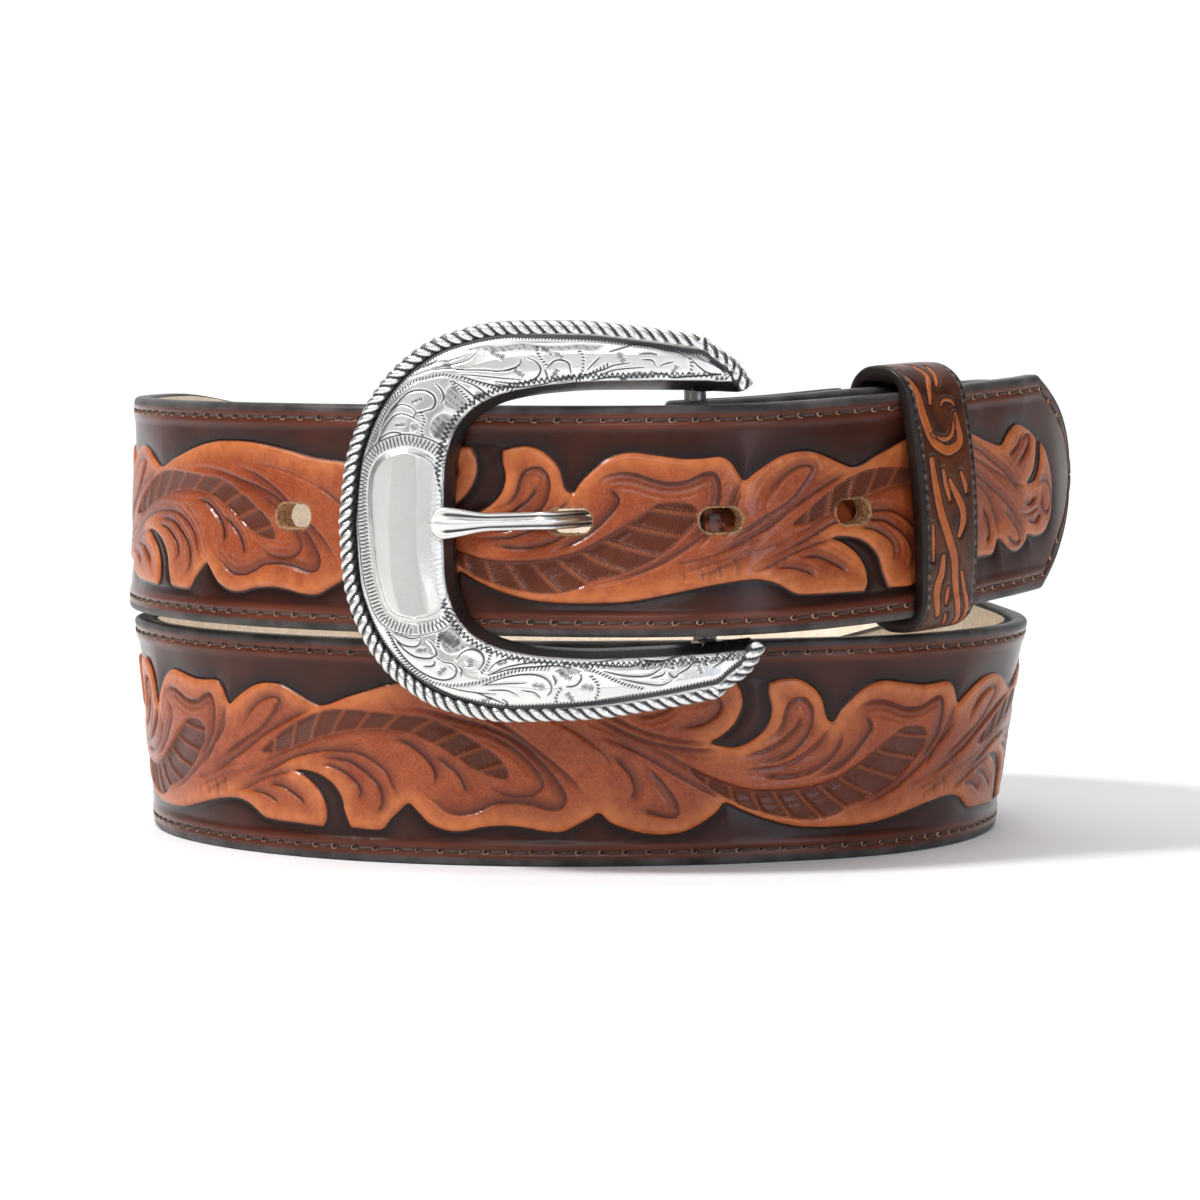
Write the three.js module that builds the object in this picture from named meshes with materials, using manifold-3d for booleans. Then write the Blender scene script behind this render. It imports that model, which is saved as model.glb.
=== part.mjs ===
// A tooled western belt, buckled and wound into two stacked turns that stand on their lower edge.
// Millimetres, +Z up. The buckle faces -Y, and the origin is on the ground under the middle of the coil.
import * as THREE from "three";
import { mergeVertices } from "three/addons/utils/BufferGeometryUtils.js";
import Module from "manifold-3d";

const wasm = await Module();
wasm.setup();

// Strap
const strapWidth = 38.1;
const faceThickness = 2.8;
const liningThickness = 1.0;
const bondGap = 0.3;
const edgeChamfer = 0.9;
const liningInset = 0.4;
const tipLength = 17;
const tipEndHalfWidth = 3;
const holeLength = 7.7;
const holeHeight = 4.4;
const holePitch = 25.4;
const holesBeyondTongue = 2;
const holesBeforeTongue = 2;
const tipToLastHole = 74;

// Coil
const coilHalfWidth = 76;
const coilHalfDepth = 67;
const coilSkew = -12.8;
const turnGap = 1.5;
const layerGap = 0.5;

// Buckle
const barTurn = 15;
const barRadius = 1.9;
const barClearance = 0.2;
const barToTongueHole = 21.5;
const frameReach = 57.8;
const frameTipReach = 7.5;
const frameHalfHeight = 33;
const frameThickness = 5.4;
const frameClearance = 0.8;
const heelWidth = 17.4;
const heelBevel = 0.9;
const windowClearance = 1.35;
const windowBevel = 1.6;
const ropeRadius = 1.35;
const ropeSeat = 2.3;
const postWidth = 4;
const postHeight = 3.8;
const postClearance = 0.2;
const postRoot = 1.6;

// Tongue
const tongueThickness = 1.7;
const tongueWidth = 3;
const tongueTipWidth = 5.2;
const tongueLoopClearance = 0.3;
const tongueLoopWidth = 4.6;
const tonguePastHeelEdge = 1.4;
const tongueRunClearance = 0.35;
const tongueBulbLength = 9;
const tongueTipRound = 2.2;

// Fold of the strap round the buckle's bar
const tabLength = 32;
const liningStart = 9;
const slotReach = 6.8;
const slotBehind = 5.4;
const slotClearance = 0.6;

// Keeper
const keeperTurn = 47.4;
const keeperWidth = 13.6;
const keeperThickness = 2.6;
const keeperSlack = 1.1;
const keeperClearance = 0.5;
const keeperCorner = 1.9;
const keeperBulge = 1.3;

const strapThickness = faceThickness + bondGap + liningThickness;
const halfWidth = strapWidth / 2;
const stackPitch = strapWidth + turnGap;
const layerPitch = strapThickness + layerGap;
const foldRadius = faceThickness + barClearance + barRadius;
const windowHalf = halfWidth + windowClearance;
const fullTurns = 720;
const turnStep = 5;

// The strap's route. turn is in degrees round the coil from the front, lift is the lower edge's height as a
// share of the stack pitch, layer the grain's offset at mid-height as a share of the layer pitch, and flare
// how far the upper edge leans out, as a share of the strap's width.
const route = [
  { turn: 15, lift: 1.02, layer: 1.1, flare: -0.08 },
  { turn: 27, lift: 1.04, layer: 0.8, flare: -0.08 },
  { turn: 40, lift: 1.065, layer: 0.45, flare: -0.07 },
  { turn: 60, lift: 1.085, layer: 0.15, flare: -0.03 },
  { turn: 76, lift: 1.085, layer: 0, flare: 0 },
  { turn: 94, lift: 1.05, layer: 0, flare: 0 },
  { turn: 120, lift: 0.88, layer: 0, flare: 0 },
  { turn: 180, lift: 0.42, layer: 0, flare: 0 },
  { turn: 225, lift: 0.09, layer: 0, flare: 0 },
  { turn: 250, lift: 0, layer: 0, flare: 0 },
  { turn: 275, lift: 0, layer: 0.6, flare: 0.09 },
  { turn: 320, lift: 0, layer: 0.25, flare: 0.05 },
  { turn: 350, lift: 0, layer: -0.4, flare: 0.02 },
  { turn: 373, lift: 0, layer: -0.62, flare: 0.02 },
  { turn: 385, lift: 0, layer: -0.55, flare: 0.03 },
  { turn: 405, lift: 0, layer: 0.15, flare: 0.09 },
  { turn: 435, lift: 0, layer: 0.65, flare: 0.17 },
  { turn: 455, lift: 0.005, layer: 0.9, flare: 0.12 },
  { turn: 475, lift: 0.05, layer: 1.12, flare: 0.03 },
  { turn: 500, lift: 0.2, layer: 1.08, flare: 0 },
  { turn: 540, lift: 0.5, layer: 1.05, flare: 0 },
  { turn: 585, lift: 0.88, layer: 1.05, flare: 0 },
  { turn: 612, lift: 1, layer: 1.05, flare: -0.02 },
  { turn: 660, lift: 1, layer: 1, flare: -0.04 },
  { turn: 690, lift: 1, layer: 1.05, flare: -0.06 },
  { turn: 704, lift: 1, layer: 1.1, flare: -0.08 },
  { turn: 717, lift: 1, layer: 1.5, flare: -0.08 },
  { turn: 735, lift: 1.005, layer: 2.1, flare: -0.08 },
  { turn: 760, lift: 1.04, layer: 1.48, flare: -0.07 },
  { turn: 780, lift: 1.08, layer: 1.18, flare: -0.03 },
  { turn: 792, lift: 1.1, layer: 1.7, flare: 0 },
  { turn: 803, lift: 1.12, layer: 2.6, flare: 0 },
  { turn: 815, lift: 1.13, layer: 3.7, flare: 0 },
];

// Half of the C-shaped frame, from the middle of the heel to the tip of an arm. The outer and inner x are
// shares of the frame's reach left of the bar, or of the tips' reach right of it. The outer y is a share of
// the frame's half height, and the inner y of the window's. rise is the crown's share of the full thickness.
const frameRows = [
  { outerX: -1, outerY: 0, innerX: -1, innerY: 0, rise: 1 },
  { outerX: -0.985, outerY: 0.28, innerX: -0.995, innerY: 0.36, rise: 1 },
  { outerX: -0.935, outerY: 0.55, innerX: -0.965, innerY: 0.64, rise: 0.98 },
  { outerX: -0.835, outerY: 0.79, innerX: -0.89, innerY: 0.84, rise: 0.96 },
  { outerX: -0.7, outerY: 0.94, innerX: -0.765, innerY: 0.96, rise: 0.94 },
  { outerX: -0.53, outerY: 1, innerX: -0.6, innerY: 1.015, rise: 0.92 },
  { outerX: -0.35, outerY: 0.995, innerX: -0.42, innerY: 1.035, rise: 0.9 },
  { outerX: -0.16, outerY: 0.955, innerX: -0.2, innerY: 1.03, rise: 0.86 },
  { outerX: 0.1, outerY: 0.88, innerX: 0.05, innerY: 1.015, rise: 0.8 },
  { outerX: 0.65, outerY: 0.78, innerX: 0.6, innerY: 1.0, rise: 0.7 },
  { outerX: 1, outerY: 0.655, innerX: 0.95, innerY: 0.99, rise: 0.6 },
];

// Cross-section of the frame from its outer edge, across being the share of the band's width and height the
// share of its thickness.
const frameProfile = [
  { across: 0.02, height: 0 },
  { across: 0.02, height: 0.3 },
  { across: 0.15, height: 0.5 },
  { across: 0.2, height: 0.78 },
  { across: 0.36, height: 0.94 },
  { across: 0.54, height: 1 },
  { across: 0.78, height: 0.92 },
  { across: 1, height: 0.76 },
];

const radians = THREE.MathUtils.degToRad;
const mix = THREE.MathUtils.lerp;

// Smooth interpolation of one column of a table, which never passes beyond its rows' values.
function columnAt(rows, key, column, x) {
  const last = rows.length - 1;
  if (x <= rows[0][key]) return rows[0][column];
  if (x >= rows[last][key]) return rows[last][column];
  const i = rows.findIndex((row) => row[key] > x) - 1;
  const span = (k) => rows[k + 1][key] - rows[k][key];
  const rate = (k) => (rows[k + 1][column] - rows[k][column]) / span(k);
  const slopeAt = (k) => {
    if (k === 0) return rate(0);
    if (k === last) return rate(last - 1);
    const before = rate(k - 1);
    const after = rate(k);
    return before * after <= 0 ? 0 : (2 * before * after) / (before + after);
  };
  const h = span(i);
  const t = (x - rows[i][key]) / h;
  const [t2, t3] = [t * t, t * t * t];
  return (
    rows[i][column] * (2 * t3 - 3 * t2 + 1) +
    h * slopeAt(i) * (t3 - 2 * t2 + t) +
    rows[i + 1][column] * (3 * t2 - 2 * t3) +
    h * slopeAt(i + 1) * (t3 - t2)
  );
}

// The coil's outline in plan at a turn in degrees, moved out by an offset.
function coilPoint(turn, offset) {
  const t = radians(turn - coilSkew);
  const skew = radians(coilSkew);
  const x = coilHalfWidth * Math.sin(t);
  const y = -coilHalfDepth * Math.cos(t);
  const normal = new THREE.Vector2(Math.sin(t) / coilHalfWidth, -Math.cos(t) / coilHalfDepth).normalize();
  return new THREE.Vector2(x, y).addScaledVector(normal, offset).rotateAround(new THREE.Vector2(), skew);
}

// The middle of the grain side at a turn.
function grainPoint(turn) {
  const layer = columnAt(route, "turn", "layer", turn) * layerPitch;
  const plan = coilPoint(turn, layer);
  return new THREE.Vector3(plan.x, plan.y, columnAt(route, "turn", "lift", turn) * stackPitch + halfWidth);
}

// Where the strap is at a turn: the point on its grain, its directions, and its lean for each mm of height.
function strand(turn) {
  const probe = 0.5;
  const along = grainPoint(turn + probe).sub(grainPoint(turn - probe)).normalize();
  const out = new THREE.Vector3(along.y, -along.x, 0).normalize();
  const across = new THREE.Vector3().crossVectors(out, along);
  const lean = out.clone().multiplyScalar(columnAt(route, "turn", "flare", turn));
  return { origin: grainPoint(turn), along, out, across, lean };
}

// A point at a depth below the grain and a height from the strap's middle line.
function place(frame, depth, height) {
  return frame.origin
    .clone()
    .addScaledVector(frame.out, -depth)
    .addScaledVector(frame.across, height)
    .addScaledVector(frame.lean, height);
}

// Length along the grain from the bar, by turn and back again.
const arcTable = [{ turn: barTurn, arc: 0 }];
for (let turn = barTurn + 1; turn <= fullTurns + 150; turn += 1) {
  const before = arcTable[arcTable.length - 1];
  arcTable.push({ turn, arc: before.arc + grainPoint(turn).distanceTo(grainPoint(before.turn)) });
}
function between(from, to, x) {
  const i = Math.min(Math.max(arcTable.findIndex((row) => row[from] > x), 1), arcTable.length - 1);
  const [a, b] = [arcTable[i - 1], arcTable[i]];
  return mix(a[to], b[to], (x - a[from]) / (b[from] - a[from]));
}
const arcAt = (turn) => between("turn", "arc", turn);
const turnAt = (arc) => between("arc", "turn", arc);

// Length along the coil's own outline at the front, where the buckle follows it, and the turn for it.
const outlineTable = [{ turn: -70, arc: 0 }];
for (let turn = -69; turn <= 70; turn += 1) {
  const before = outlineTable[outlineTable.length - 1];
  outlineTable.push({ turn, arc: before.arc + coilPoint(turn, 0).distanceTo(coilPoint(before.turn, 0)) });
}
const barOutlineArc = columnAt(outlineTable, "turn", "arc", barTurn);
const turnBesideBar = (x) => columnAt(outlineTable, "arc", "turn", barOutlineArc + x);

const tongueHoleArc = arcAt(fullTurns + turnBesideBar(-barToTongueHole));
const endArc = tongueHoleArc + holesBeyondTongue * holePitch + tipToLastHole;

// The strap's half width at an arc, which narrows to a rounded point at the tip.
function halfWidthAt(arc) {
  const left = Math.min(Math.max((endArc - arc) / tipLength, 0), 1);
  return mix(tipEndHalfWidth, halfWidth, left ** 0.6);
}

// A closed solid through sections that all have the same number of corners, with a flat cap at each end that
// fans out from the section's middle.
function loft(sections) {
  const corners = sections[0].length;
  const last = sections.length - 1;
  const middles = [sections[0], sections[last]].map((section) =>
    section.reduce((sum, p) => sum.add(p), new THREE.Vector3()).divideScalar(corners),
  );
  const positions = [...sections.flat(), ...middles].flatMap((p) => p.toArray());
  const index = [];
  for (let k = 0; k < corners; k += 1) {
    const next = (k + 1) % corners;
    for (let i = 0; i < last; i += 1) {
      const [a, b] = [i * corners + k, i * corners + next];
      index.push(a, b, b + corners, a, b + corners, a + corners);
    }
    const end = last * corners;
    index.push(end + corners, next, k);
    index.push(end + corners + 1, end + k, end + next);
  }
  const geometry = new THREE.BufferGeometry();
  geometry.setAttribute("position", new THREE.Float32BufferAttribute(positions, 3));
  geometry.setIndex(index);
  return geometry;
}

// A geometry as a solid, turned outside out if its faces point inwards.
function solidOf(geometry) {
  const bare = new THREE.BufferGeometry();
  bare.setAttribute("position", geometry.getAttribute("position").clone());
  if (geometry.index) bare.setIndex(geometry.index.clone());
  const merged = mergeVertices(bare, 1e-4);
  const triVerts = new Uint32Array(merged.index.array);
  const vertProperties = new Float32Array(merged.attributes.position.array);
  const made = new wasm.Manifold(new wasm.Mesh({ numProp: 3, vertProperties, triVerts }));
  if (made.volume() > 0) return made;
  for (let i = 0; i < triVerts.length; i += 3) {
    [triVerts[i + 1], triVerts[i + 2]] = [triVerts[i + 2], triVerts[i + 1]];
  }
  return new wasm.Manifold(new wasm.Mesh({ numProp: 3, vertProperties, triVerts }));
}

function geometryOf(solid) {
  const mesh = solid.getMesh();
  const geometry = new THREE.BufferGeometry();
  geometry.setAttribute("position", new THREE.BufferAttribute(new Float32Array(mesh.vertProperties), 3));
  geometry.setIndex(new THREE.BufferAttribute(new Uint32Array(mesh.triVerts), 1));
  geometry.computeVertexNormals();
  return geometry;
}

// Moves every corner of a geometry by a function of its x, y and z.
function bend(geometry, toPlace) {
  const position = geometry.getAttribute("position");
  for (let i = 0; i < position.count; i += 1) {
    const p = toPlace(position.getX(i), position.getY(i), position.getZ(i));
    position.setXYZ(i, p.x, p.y, p.z);
  }
  return geometry;
}

// The arcs at which both layers have a section: one for each turn step, and closer ones in the tip.
function stationArcs() {
  const arcs = [];
  const tipStart = endArc - tipLength;
  const tipSections = 8;
  const crowding = 1.7;
  for (let turn = barTurn; arcAt(turn) < tipStart - 1; turn += turnStep) arcs.push(arcAt(turn));
  for (let k = tipSections; k >= 0; k -= 1) arcs.push(endArc - tipLength * (k / tipSections) ** crowding);
  return arcs;
}

const barFrame = strand(barTurn);
const barCentre = place(barFrame, foldRadius, 0);
const leanPerMm = columnAt(route, "turn", "flare", barTurn);

// The part of the strap that is folded back behind the bar, as frames from the tab's end to the bar.
function foldFrames() {
  const frames = [];
  const tabSteps = 7;
  const foldSteps = 10;
  const closedDepth = strapThickness + bondGap + faceThickness;
  for (let k = tabSteps; k > 0; k -= 1) {
    const arc = (tabLength * k) / tabSteps;
    const main = strand(turnAt(arc));
    const settled = THREE.MathUtils.smoothstep(arc, 0, liningStart);
    frames.push({
      origin: place(main, mix(2 * foldRadius, closedDepth, settled), 0),
      out: main.out.clone().negate(),
      across: main.across,
      lean: main.lean,
    });
  }
  for (let k = foldSteps; k > 0; k -= 1) {
    const angle = (Math.PI * k) / foldSteps;
    const out = barFrame.out.clone().multiplyScalar(Math.cos(angle));
    out.addScaledVector(barFrame.along, -Math.sin(angle));
    frames.push({
      origin: barCentre.clone().addScaledVector(out, foldRadius),
      out,
      across: barFrame.across,
      lean: barFrame.lean,
    });
  }
  return frames;
}

// Corners of the tooled layer's section, chamfered on the grain side.
function faceSection(frame, half) {
  const chamfer = Math.min(edgeChamfer, half / 2);
  return [
    place(frame, 0, chamfer - half),
    place(frame, 0, 0),
    place(frame, 0, half - chamfer),
    place(frame, chamfer, half),
    place(frame, faceThickness, half),
    place(frame, faceThickness, 0),
    place(frame, faceThickness, -half),
    place(frame, chamfer, -half),
  ];
}

function liningSection(frame, half) {
  const inset = half - Math.min(liningInset, half / 2);
  return [
    place(frame, faceThickness + bondGap, -inset),
    place(frame, faceThickness + bondGap, 0),
    place(frame, faceThickness + bondGap, inset),
    place(frame, strapThickness, inset),
    place(frame, strapThickness, 0),
    place(frame, strapThickness, -inset),
  ];
}

// A slot with round ends, as long as the strap runs and through one thickness of it.
function holeCutter(arc) {
  const frame = strand(turnAt(arc));
  const radius = holeHeight / 2;
  const reach = holeLength / 2 - radius;
  const outline = new THREE.Shape();
  outline.absarc(reach, 0, radius, -Math.PI / 2, Math.PI / 2, false);
  outline.absarc(-reach, 0, radius, Math.PI / 2, (3 * Math.PI) / 2, false);
  const below = strapThickness + layerGap / 2;
  const above = 1;
  const slot = new THREE.ExtrudeGeometry(outline, {
    depth: below + above,
    bevelEnabled: false,
    curveSegments: 7,
  });
  return solidOf(
    bend(slot, (x, y, z) => place(frame, below - z, y).addScaledVector(frame.along, x)),
  );
}

function punchHoles(solid) {
  let punched = solid;
  for (let k = -holesBeforeTongue; k <= holesBeyondTongue; k += 1) {
    punched = punched.subtract(holeCutter(tongueHoleArc + k * holePitch));
  }
  return punched;
}

// The slot in the fold that the tongue's loop sits in.
function foldSlotCutter() {
  const height = tongueLoopWidth + 2 * slotClearance;
  const box = new THREE.BoxGeometry(slotReach + slotBehind, height, 3 * foldRadius + layerGap / 2);
  box.translate((slotBehind - slotReach) / 2, 0, -foldRadius / 2 + layerGap / 4);
  return solidOf(
    bend(box, (x, y, z) =>
      place({ ...barFrame, origin: barCentre }, -z, y).addScaledVector(barFrame.along, x),
    ),
  );
}

function strapFace() {
  const main = stationArcs().map((arc) => faceSection(strand(turnAt(arc)), halfWidthAt(arc)));
  const fold = foldFrames().map((frame) => faceSection(frame, halfWidth));
  return punchHoles(solidOf(loft([...fold, ...main]))).subtract(foldSlotCutter());
}

function strapLining() {
  const arcs = [liningStart, ...stationArcs().filter((arc) => arc > liningStart + 1)];
  const sections = arcs.map((arc) => liningSection(strand(turnAt(arc)), halfWidthAt(arc)));
  return punchHoles(solidOf(loft(sections)));
}

// The keeper: a leather band round both layers of strap, bent to the coil.
function keeper() {
  const centreArc = arcAt(keeperTurn);
  const billetRise = place(strand(keeperTurn + fullTurns), 0, 0)
    .sub(place(strand(keeperTurn), 0, 0))
    .dot(strand(keeperTurn).out);
  const behind = strapThickness + keeperClearance;
  const before = billetRise + keeperClearance;
  const high = halfWidth + keeperSlack;
  const rounded = (path, grow) => {
    const radius = keeperCorner + grow;
    const [x0, x1, y] = [-behind - grow, before + grow, high + grow];
    path.moveTo(x0 + radius, -y);
    path.lineTo(x1 - radius, -y);
    path.absarc(x1 - radius, -y + radius, radius, -Math.PI / 2, 0, false);
    path.quadraticCurveTo(x1 + 2 * keeperBulge, 0, x1, y - radius);
    path.absarc(x1 - radius, y - radius, radius, 0, Math.PI / 2, false);
    path.absarc(x0 + radius, y - radius, radius, Math.PI / 2, Math.PI, false);
    path.absarc(x0 + radius, -y + radius, radius, Math.PI, (3 * Math.PI) / 2, false);
    path.closePath();
    return path;
  };
  const ring = rounded(new THREE.Shape(), keeperThickness);
  ring.holes.push(rounded(new THREE.Path(), 0));
  const band = new THREE.ExtrudeGeometry(ring, {
    depth: keeperWidth,
    steps: 6,
    bevelEnabled: false,
    curveSegments: 5,
  });
  return solidOf(
    bend(band, (x, y, z) => place(strand(turnAt(centreArc + z - keeperWidth / 2)), -x, y)),
  );
}

const roll = Math.asin(barFrame.along.z);

// A point of the buckle: x along the belt from the bar, y up from its middle, and an offset from the coil.
// The buckle is curved to the coil, rolled with the strap's slope at the bar and leans with the strap.
function onBuckle(x, y, offset) {
  const arc = x * Math.cos(roll) - y * Math.sin(roll);
  const height = x * Math.sin(roll) + y * Math.cos(roll);
  const plan = coilPoint(turnBesideBar(arc), offset + leanPerMm * height);
  return new THREE.Vector3(plan.x, plan.y, barCentre.z + height);
}

// Offset of the billet's grain from the coil, at a distance along the buckle from the bar.
const billetOffset = (x) => columnAt(route, "turn", "layer", turnBesideBar(x) + fullTurns) * layerPitch;

const heelInnerEdge = heelWidth - frameReach;
const frameBack = billetOffset(heelInnerEdge - heelWidth / 4) + frameClearance;
const barOffset = columnAt(route, "turn", "layer", barTurn) * layerPitch - foldRadius;

// Outer and inner corners of the frame's band at a share of the way from heel to arm tip.
function bandAt(share) {
  const rows = frameRows.map((row, i) => ({ ...row, share: i / (frameRows.length - 1) }));
  const at = (column) => columnAt(rows, "share", column, share);
  const reach = (value, left) => (value < 0 ? value * left : value * frameTipReach);
  return {
    outer: new THREE.Vector2(reach(at("outerX"), frameReach), at("outerY") * frameHalfHeight),
    inner: new THREE.Vector2(reach(at("innerX"), -heelInnerEdge), at("innerY") * (windowHalf + windowBevel)),
    rise: at("rise"),
    heel: 1 - THREE.MathUtils.smoothstep(share, 0.15, 0.45),
  };
}

// One section of the frame, with the window's wall sloping in towards the back.
function frameSection(share, side) {
  const band = bandAt(share);
  const corner = (across, offset) => {
    const p = band.outer.clone().lerp(band.inner, across);
    return onBuckle(p.x, side * p.y, frameBack + offset);
  };
  const points = frameProfile.map((row) => corner(row.across, row.height * band.rise * frameThickness));
  const width = band.outer.distanceTo(band.inner);
  const bevel = mix(windowBevel, heelBevel, band.heel);
  return [...points, corner(1 + bevel / width, 0)];
}

// A rounded bead along the frame's rim that stands for the twisted wire edge.
function ropeSection(share, side) {
  const sides = 8;
  const here = bandAt(share).outer;
  const step = 0.01;
  const ahead = bandAt(Math.min(share + step, 1)).outer;
  const behind = bandAt(Math.max(share - step, 0)).outer;
  if (share < step) behind.y = -ahead.y;
  const along = ahead.sub(behind).normalize();
  const inward = new THREE.Vector2(along.y, -along.x);
  return Array.from({ length: sides }, (_, k) => {
    const angle = (2 * Math.PI * k) / sides;
    const in2d = ropeRadius * (1 + Math.cos(angle));
    const p = here.clone().addScaledVector(inward, in2d);
    return onBuckle(p.x, side * p.y, frameBack + ropeSeat + ropeRadius * Math.sin(angle));
  });
}

// Sections along the whole C, from the upper arm's tip round the heel to the lower arm's.
function alongFrame(section) {
  const steps = 30;
  const sections = [];
  for (let k = -steps; k <= steps; k += 1) sections.push(section(Math.abs(k) / steps, k < 0 ? 1 : -1));
  return sections;
}

function barAndPosts() {
  const end = windowHalf + postHeight / 2;
  const bar = new THREE.CylinderGeometry(barRadius, barRadius, 2 * end, 16, 1);
  let solid = solidOf(bend(bar, (x, y, z) => onBuckle(x, y, barOffset + z)));
  for (const side of [1, -1]) {
    const low = barOffset - barRadius;
    const high = frameBack + postRoot;
    const post = new THREE.BoxGeometry(postWidth, postHeight, high - low);
    post.translate(0, side * (windowHalf + postClearance + postHeight / 2), (high + low) / 2);
    solid = solid.add(solidOf(bend(post, (x, y, z) => onBuckle(x, y, z))));
  }
  return solid;
}

function buckleFrame() {
  return solidOf(loft(alongFrame(frameSection)))
    .add(solidOf(loft(alongFrame(ropeSection))))
    .add(barAndPosts());
}

// The tongue's middle line: round the bar, behind the billet, up through its hole and over to the heel.
function tongueLine() {
  const loopRadius = barRadius + tongueLoopClearance + tongueThickness / 2;
  const loopStart = 285;
  const loopSteps = 11;
  const points = [];
  for (let k = 0; k <= loopSteps; k += 1) {
    const angle = radians(mix(loopStart, 0, k / loopSteps));
    points.push({ x: loopRadius * Math.sin(angle), n: barOffset + loopRadius * Math.cos(angle), loop: 1 });
  }
  const half = tongueThickness / 2 + tongueRunClearance;
  const climb = holeLength * 0.42;
  const level = 2;
  const behind = (x) => ({ x, n: billetOffset(x) - strapThickness - half });
  const before = (x) => ({ x, n: billetOffset(x) + half });
  const hole = -barToTongueHole;
  const rest = frameBack + frameThickness * 0.8 + half;
  const halfWay = mix(hole, heelInnerEdge, 0.6);
  const knots = [
    { x: 0, n: barOffset + loopRadius },
    { x: -loopRadius * 1.5, n: barOffset + loopRadius },
    behind(hole / 2),
    behind(hole + climb + level),
    behind(hole + climb),
    { x: hole, n: billetOffset(hole) - strapThickness / 2 },
    before(hole - climb),
    before(hole - climb - level),
    { x: halfWay, n: mix(before(halfWay).n, rest, 0.6) },
    { x: heelInnerEdge + level, n: rest },
    { x: heelInnerEdge - tonguePastHeelEdge, n: rest + tongueRunClearance },
  ];
  const spine = knots.map((knot) => new THREE.Vector3(knot.x, 0, knot.n));
  const curve = new THREE.CatmullRomCurve3(spine, false, "centripetal");
  const runSteps = 30;
  const loopBlend = 7;
  for (let k = 1; k <= runSteps; k += 1) {
    const p = curve.getPointAt(k / runSteps);
    points.push({ x: p.x, n: p.z, loop: Math.max(0, 1 - k / loopBlend) });
  }
  return points;
}

// Corners of the tongue's section, y being a share of its width and t of half its thickness.
const tongueProfile = [
  { y: -0.5, t: -1 },
  { y: 0.5, t: -1 },
  { y: 0.5, t: 0.2 },
  { y: 0.22, t: 1 },
  { y: -0.22, t: 1 },
  { y: -0.5, t: 0.2 },
];

function buckleTongue() {
  const line = tongueLine();
  const tip = line[line.length - 1];
  const sections = line.map((p, i) => {
    const a = line[Math.max(i - 1, 0)];
    const b = line[Math.min(i + 1, line.length - 1)];
    const along = new THREE.Vector2(b.x - a.x, b.n - a.n).normalize();
    const toTip = Math.hypot(p.x - tip.x, p.n - tip.n);
    const bulb = 1 - THREE.MathUtils.smoothstep(toTip, tongueTipRound, tongueBulbLength);
    const round = Math.sqrt(Math.min(1, 0.15 + toTip / tongueTipRound));
    const wide = mix(mix(tongueWidth, tongueTipWidth, bulb), tongueLoopWidth, p.loop) * round;
    const thick = (tongueThickness / 2) * mix(0.75, 1, round);
    return tongueProfile.map((corner) => {
      const rise = corner.t * thick;
      return onBuckle(p.x + along.y * rise, corner.y * wide, p.n - along.x * rise);
    });
  });
  return solidOf(loft(sections));
}

const leather = new THREE.MeshStandardMaterial({ color: 0x8a4526, roughness: 0.4, metalness: 0 });
const suede = new THREE.MeshStandardMaterial({ color: 0xcfa67c, roughness: 0.9, metalness: 0 });
const silver = new THREE.MeshStandardMaterial({ color: 0xc9c9c8, roughness: 0.22, metalness: 1 });

function named(name, solid, material) {
  const mesh = new THREE.Mesh(geometryOf(solid), material);
  mesh.name = name;
  return mesh;
}

const belt = new THREE.Group();
belt.add(
  named("strap_face", strapFace(), leather),
  named("strap_lining", strapLining(), suede),
  named("keeper", keeper(), leather),
  named("buckle_frame", buckleFrame(), silver),
  named("buckle_tongue", buckleTongue(), silver),
);

// Set the coil over the origin.
const bounds = new THREE.Box3().setFromObject(belt);
const middle = bounds.getCenter(new THREE.Vector3());
belt.position.set(-middle.x, -middle.y, -bounds.min.z);

export default belt;
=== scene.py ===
"""A western tooled belt, buckled and wound into two stacked turns, with the studio that it stands in."""

import bpy
import numpy as np
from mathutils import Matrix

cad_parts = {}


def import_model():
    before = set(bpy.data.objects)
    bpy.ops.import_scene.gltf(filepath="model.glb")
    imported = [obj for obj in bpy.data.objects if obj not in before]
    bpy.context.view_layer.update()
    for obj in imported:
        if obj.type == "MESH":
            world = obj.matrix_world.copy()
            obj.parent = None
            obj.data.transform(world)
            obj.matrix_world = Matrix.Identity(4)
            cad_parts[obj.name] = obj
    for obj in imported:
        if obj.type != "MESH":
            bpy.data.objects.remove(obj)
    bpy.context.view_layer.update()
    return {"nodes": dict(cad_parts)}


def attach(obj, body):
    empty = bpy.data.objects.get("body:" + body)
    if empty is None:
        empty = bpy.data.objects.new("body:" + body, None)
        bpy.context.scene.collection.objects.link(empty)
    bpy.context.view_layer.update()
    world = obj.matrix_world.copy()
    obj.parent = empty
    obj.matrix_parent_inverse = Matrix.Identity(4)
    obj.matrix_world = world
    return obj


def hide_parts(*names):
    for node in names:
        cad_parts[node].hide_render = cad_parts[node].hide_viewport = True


bl_info = {
    "name": "Western tooled belt",
    "version": (1, 0, 0),
    "blender": (4, 5, 0),
    "location": "View3D > Sidebar > Belt",
    "description": "Builds a tooled leather belt with an engraved silver buckle, and its studio",
    "category": "Object",
}

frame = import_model()

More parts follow.
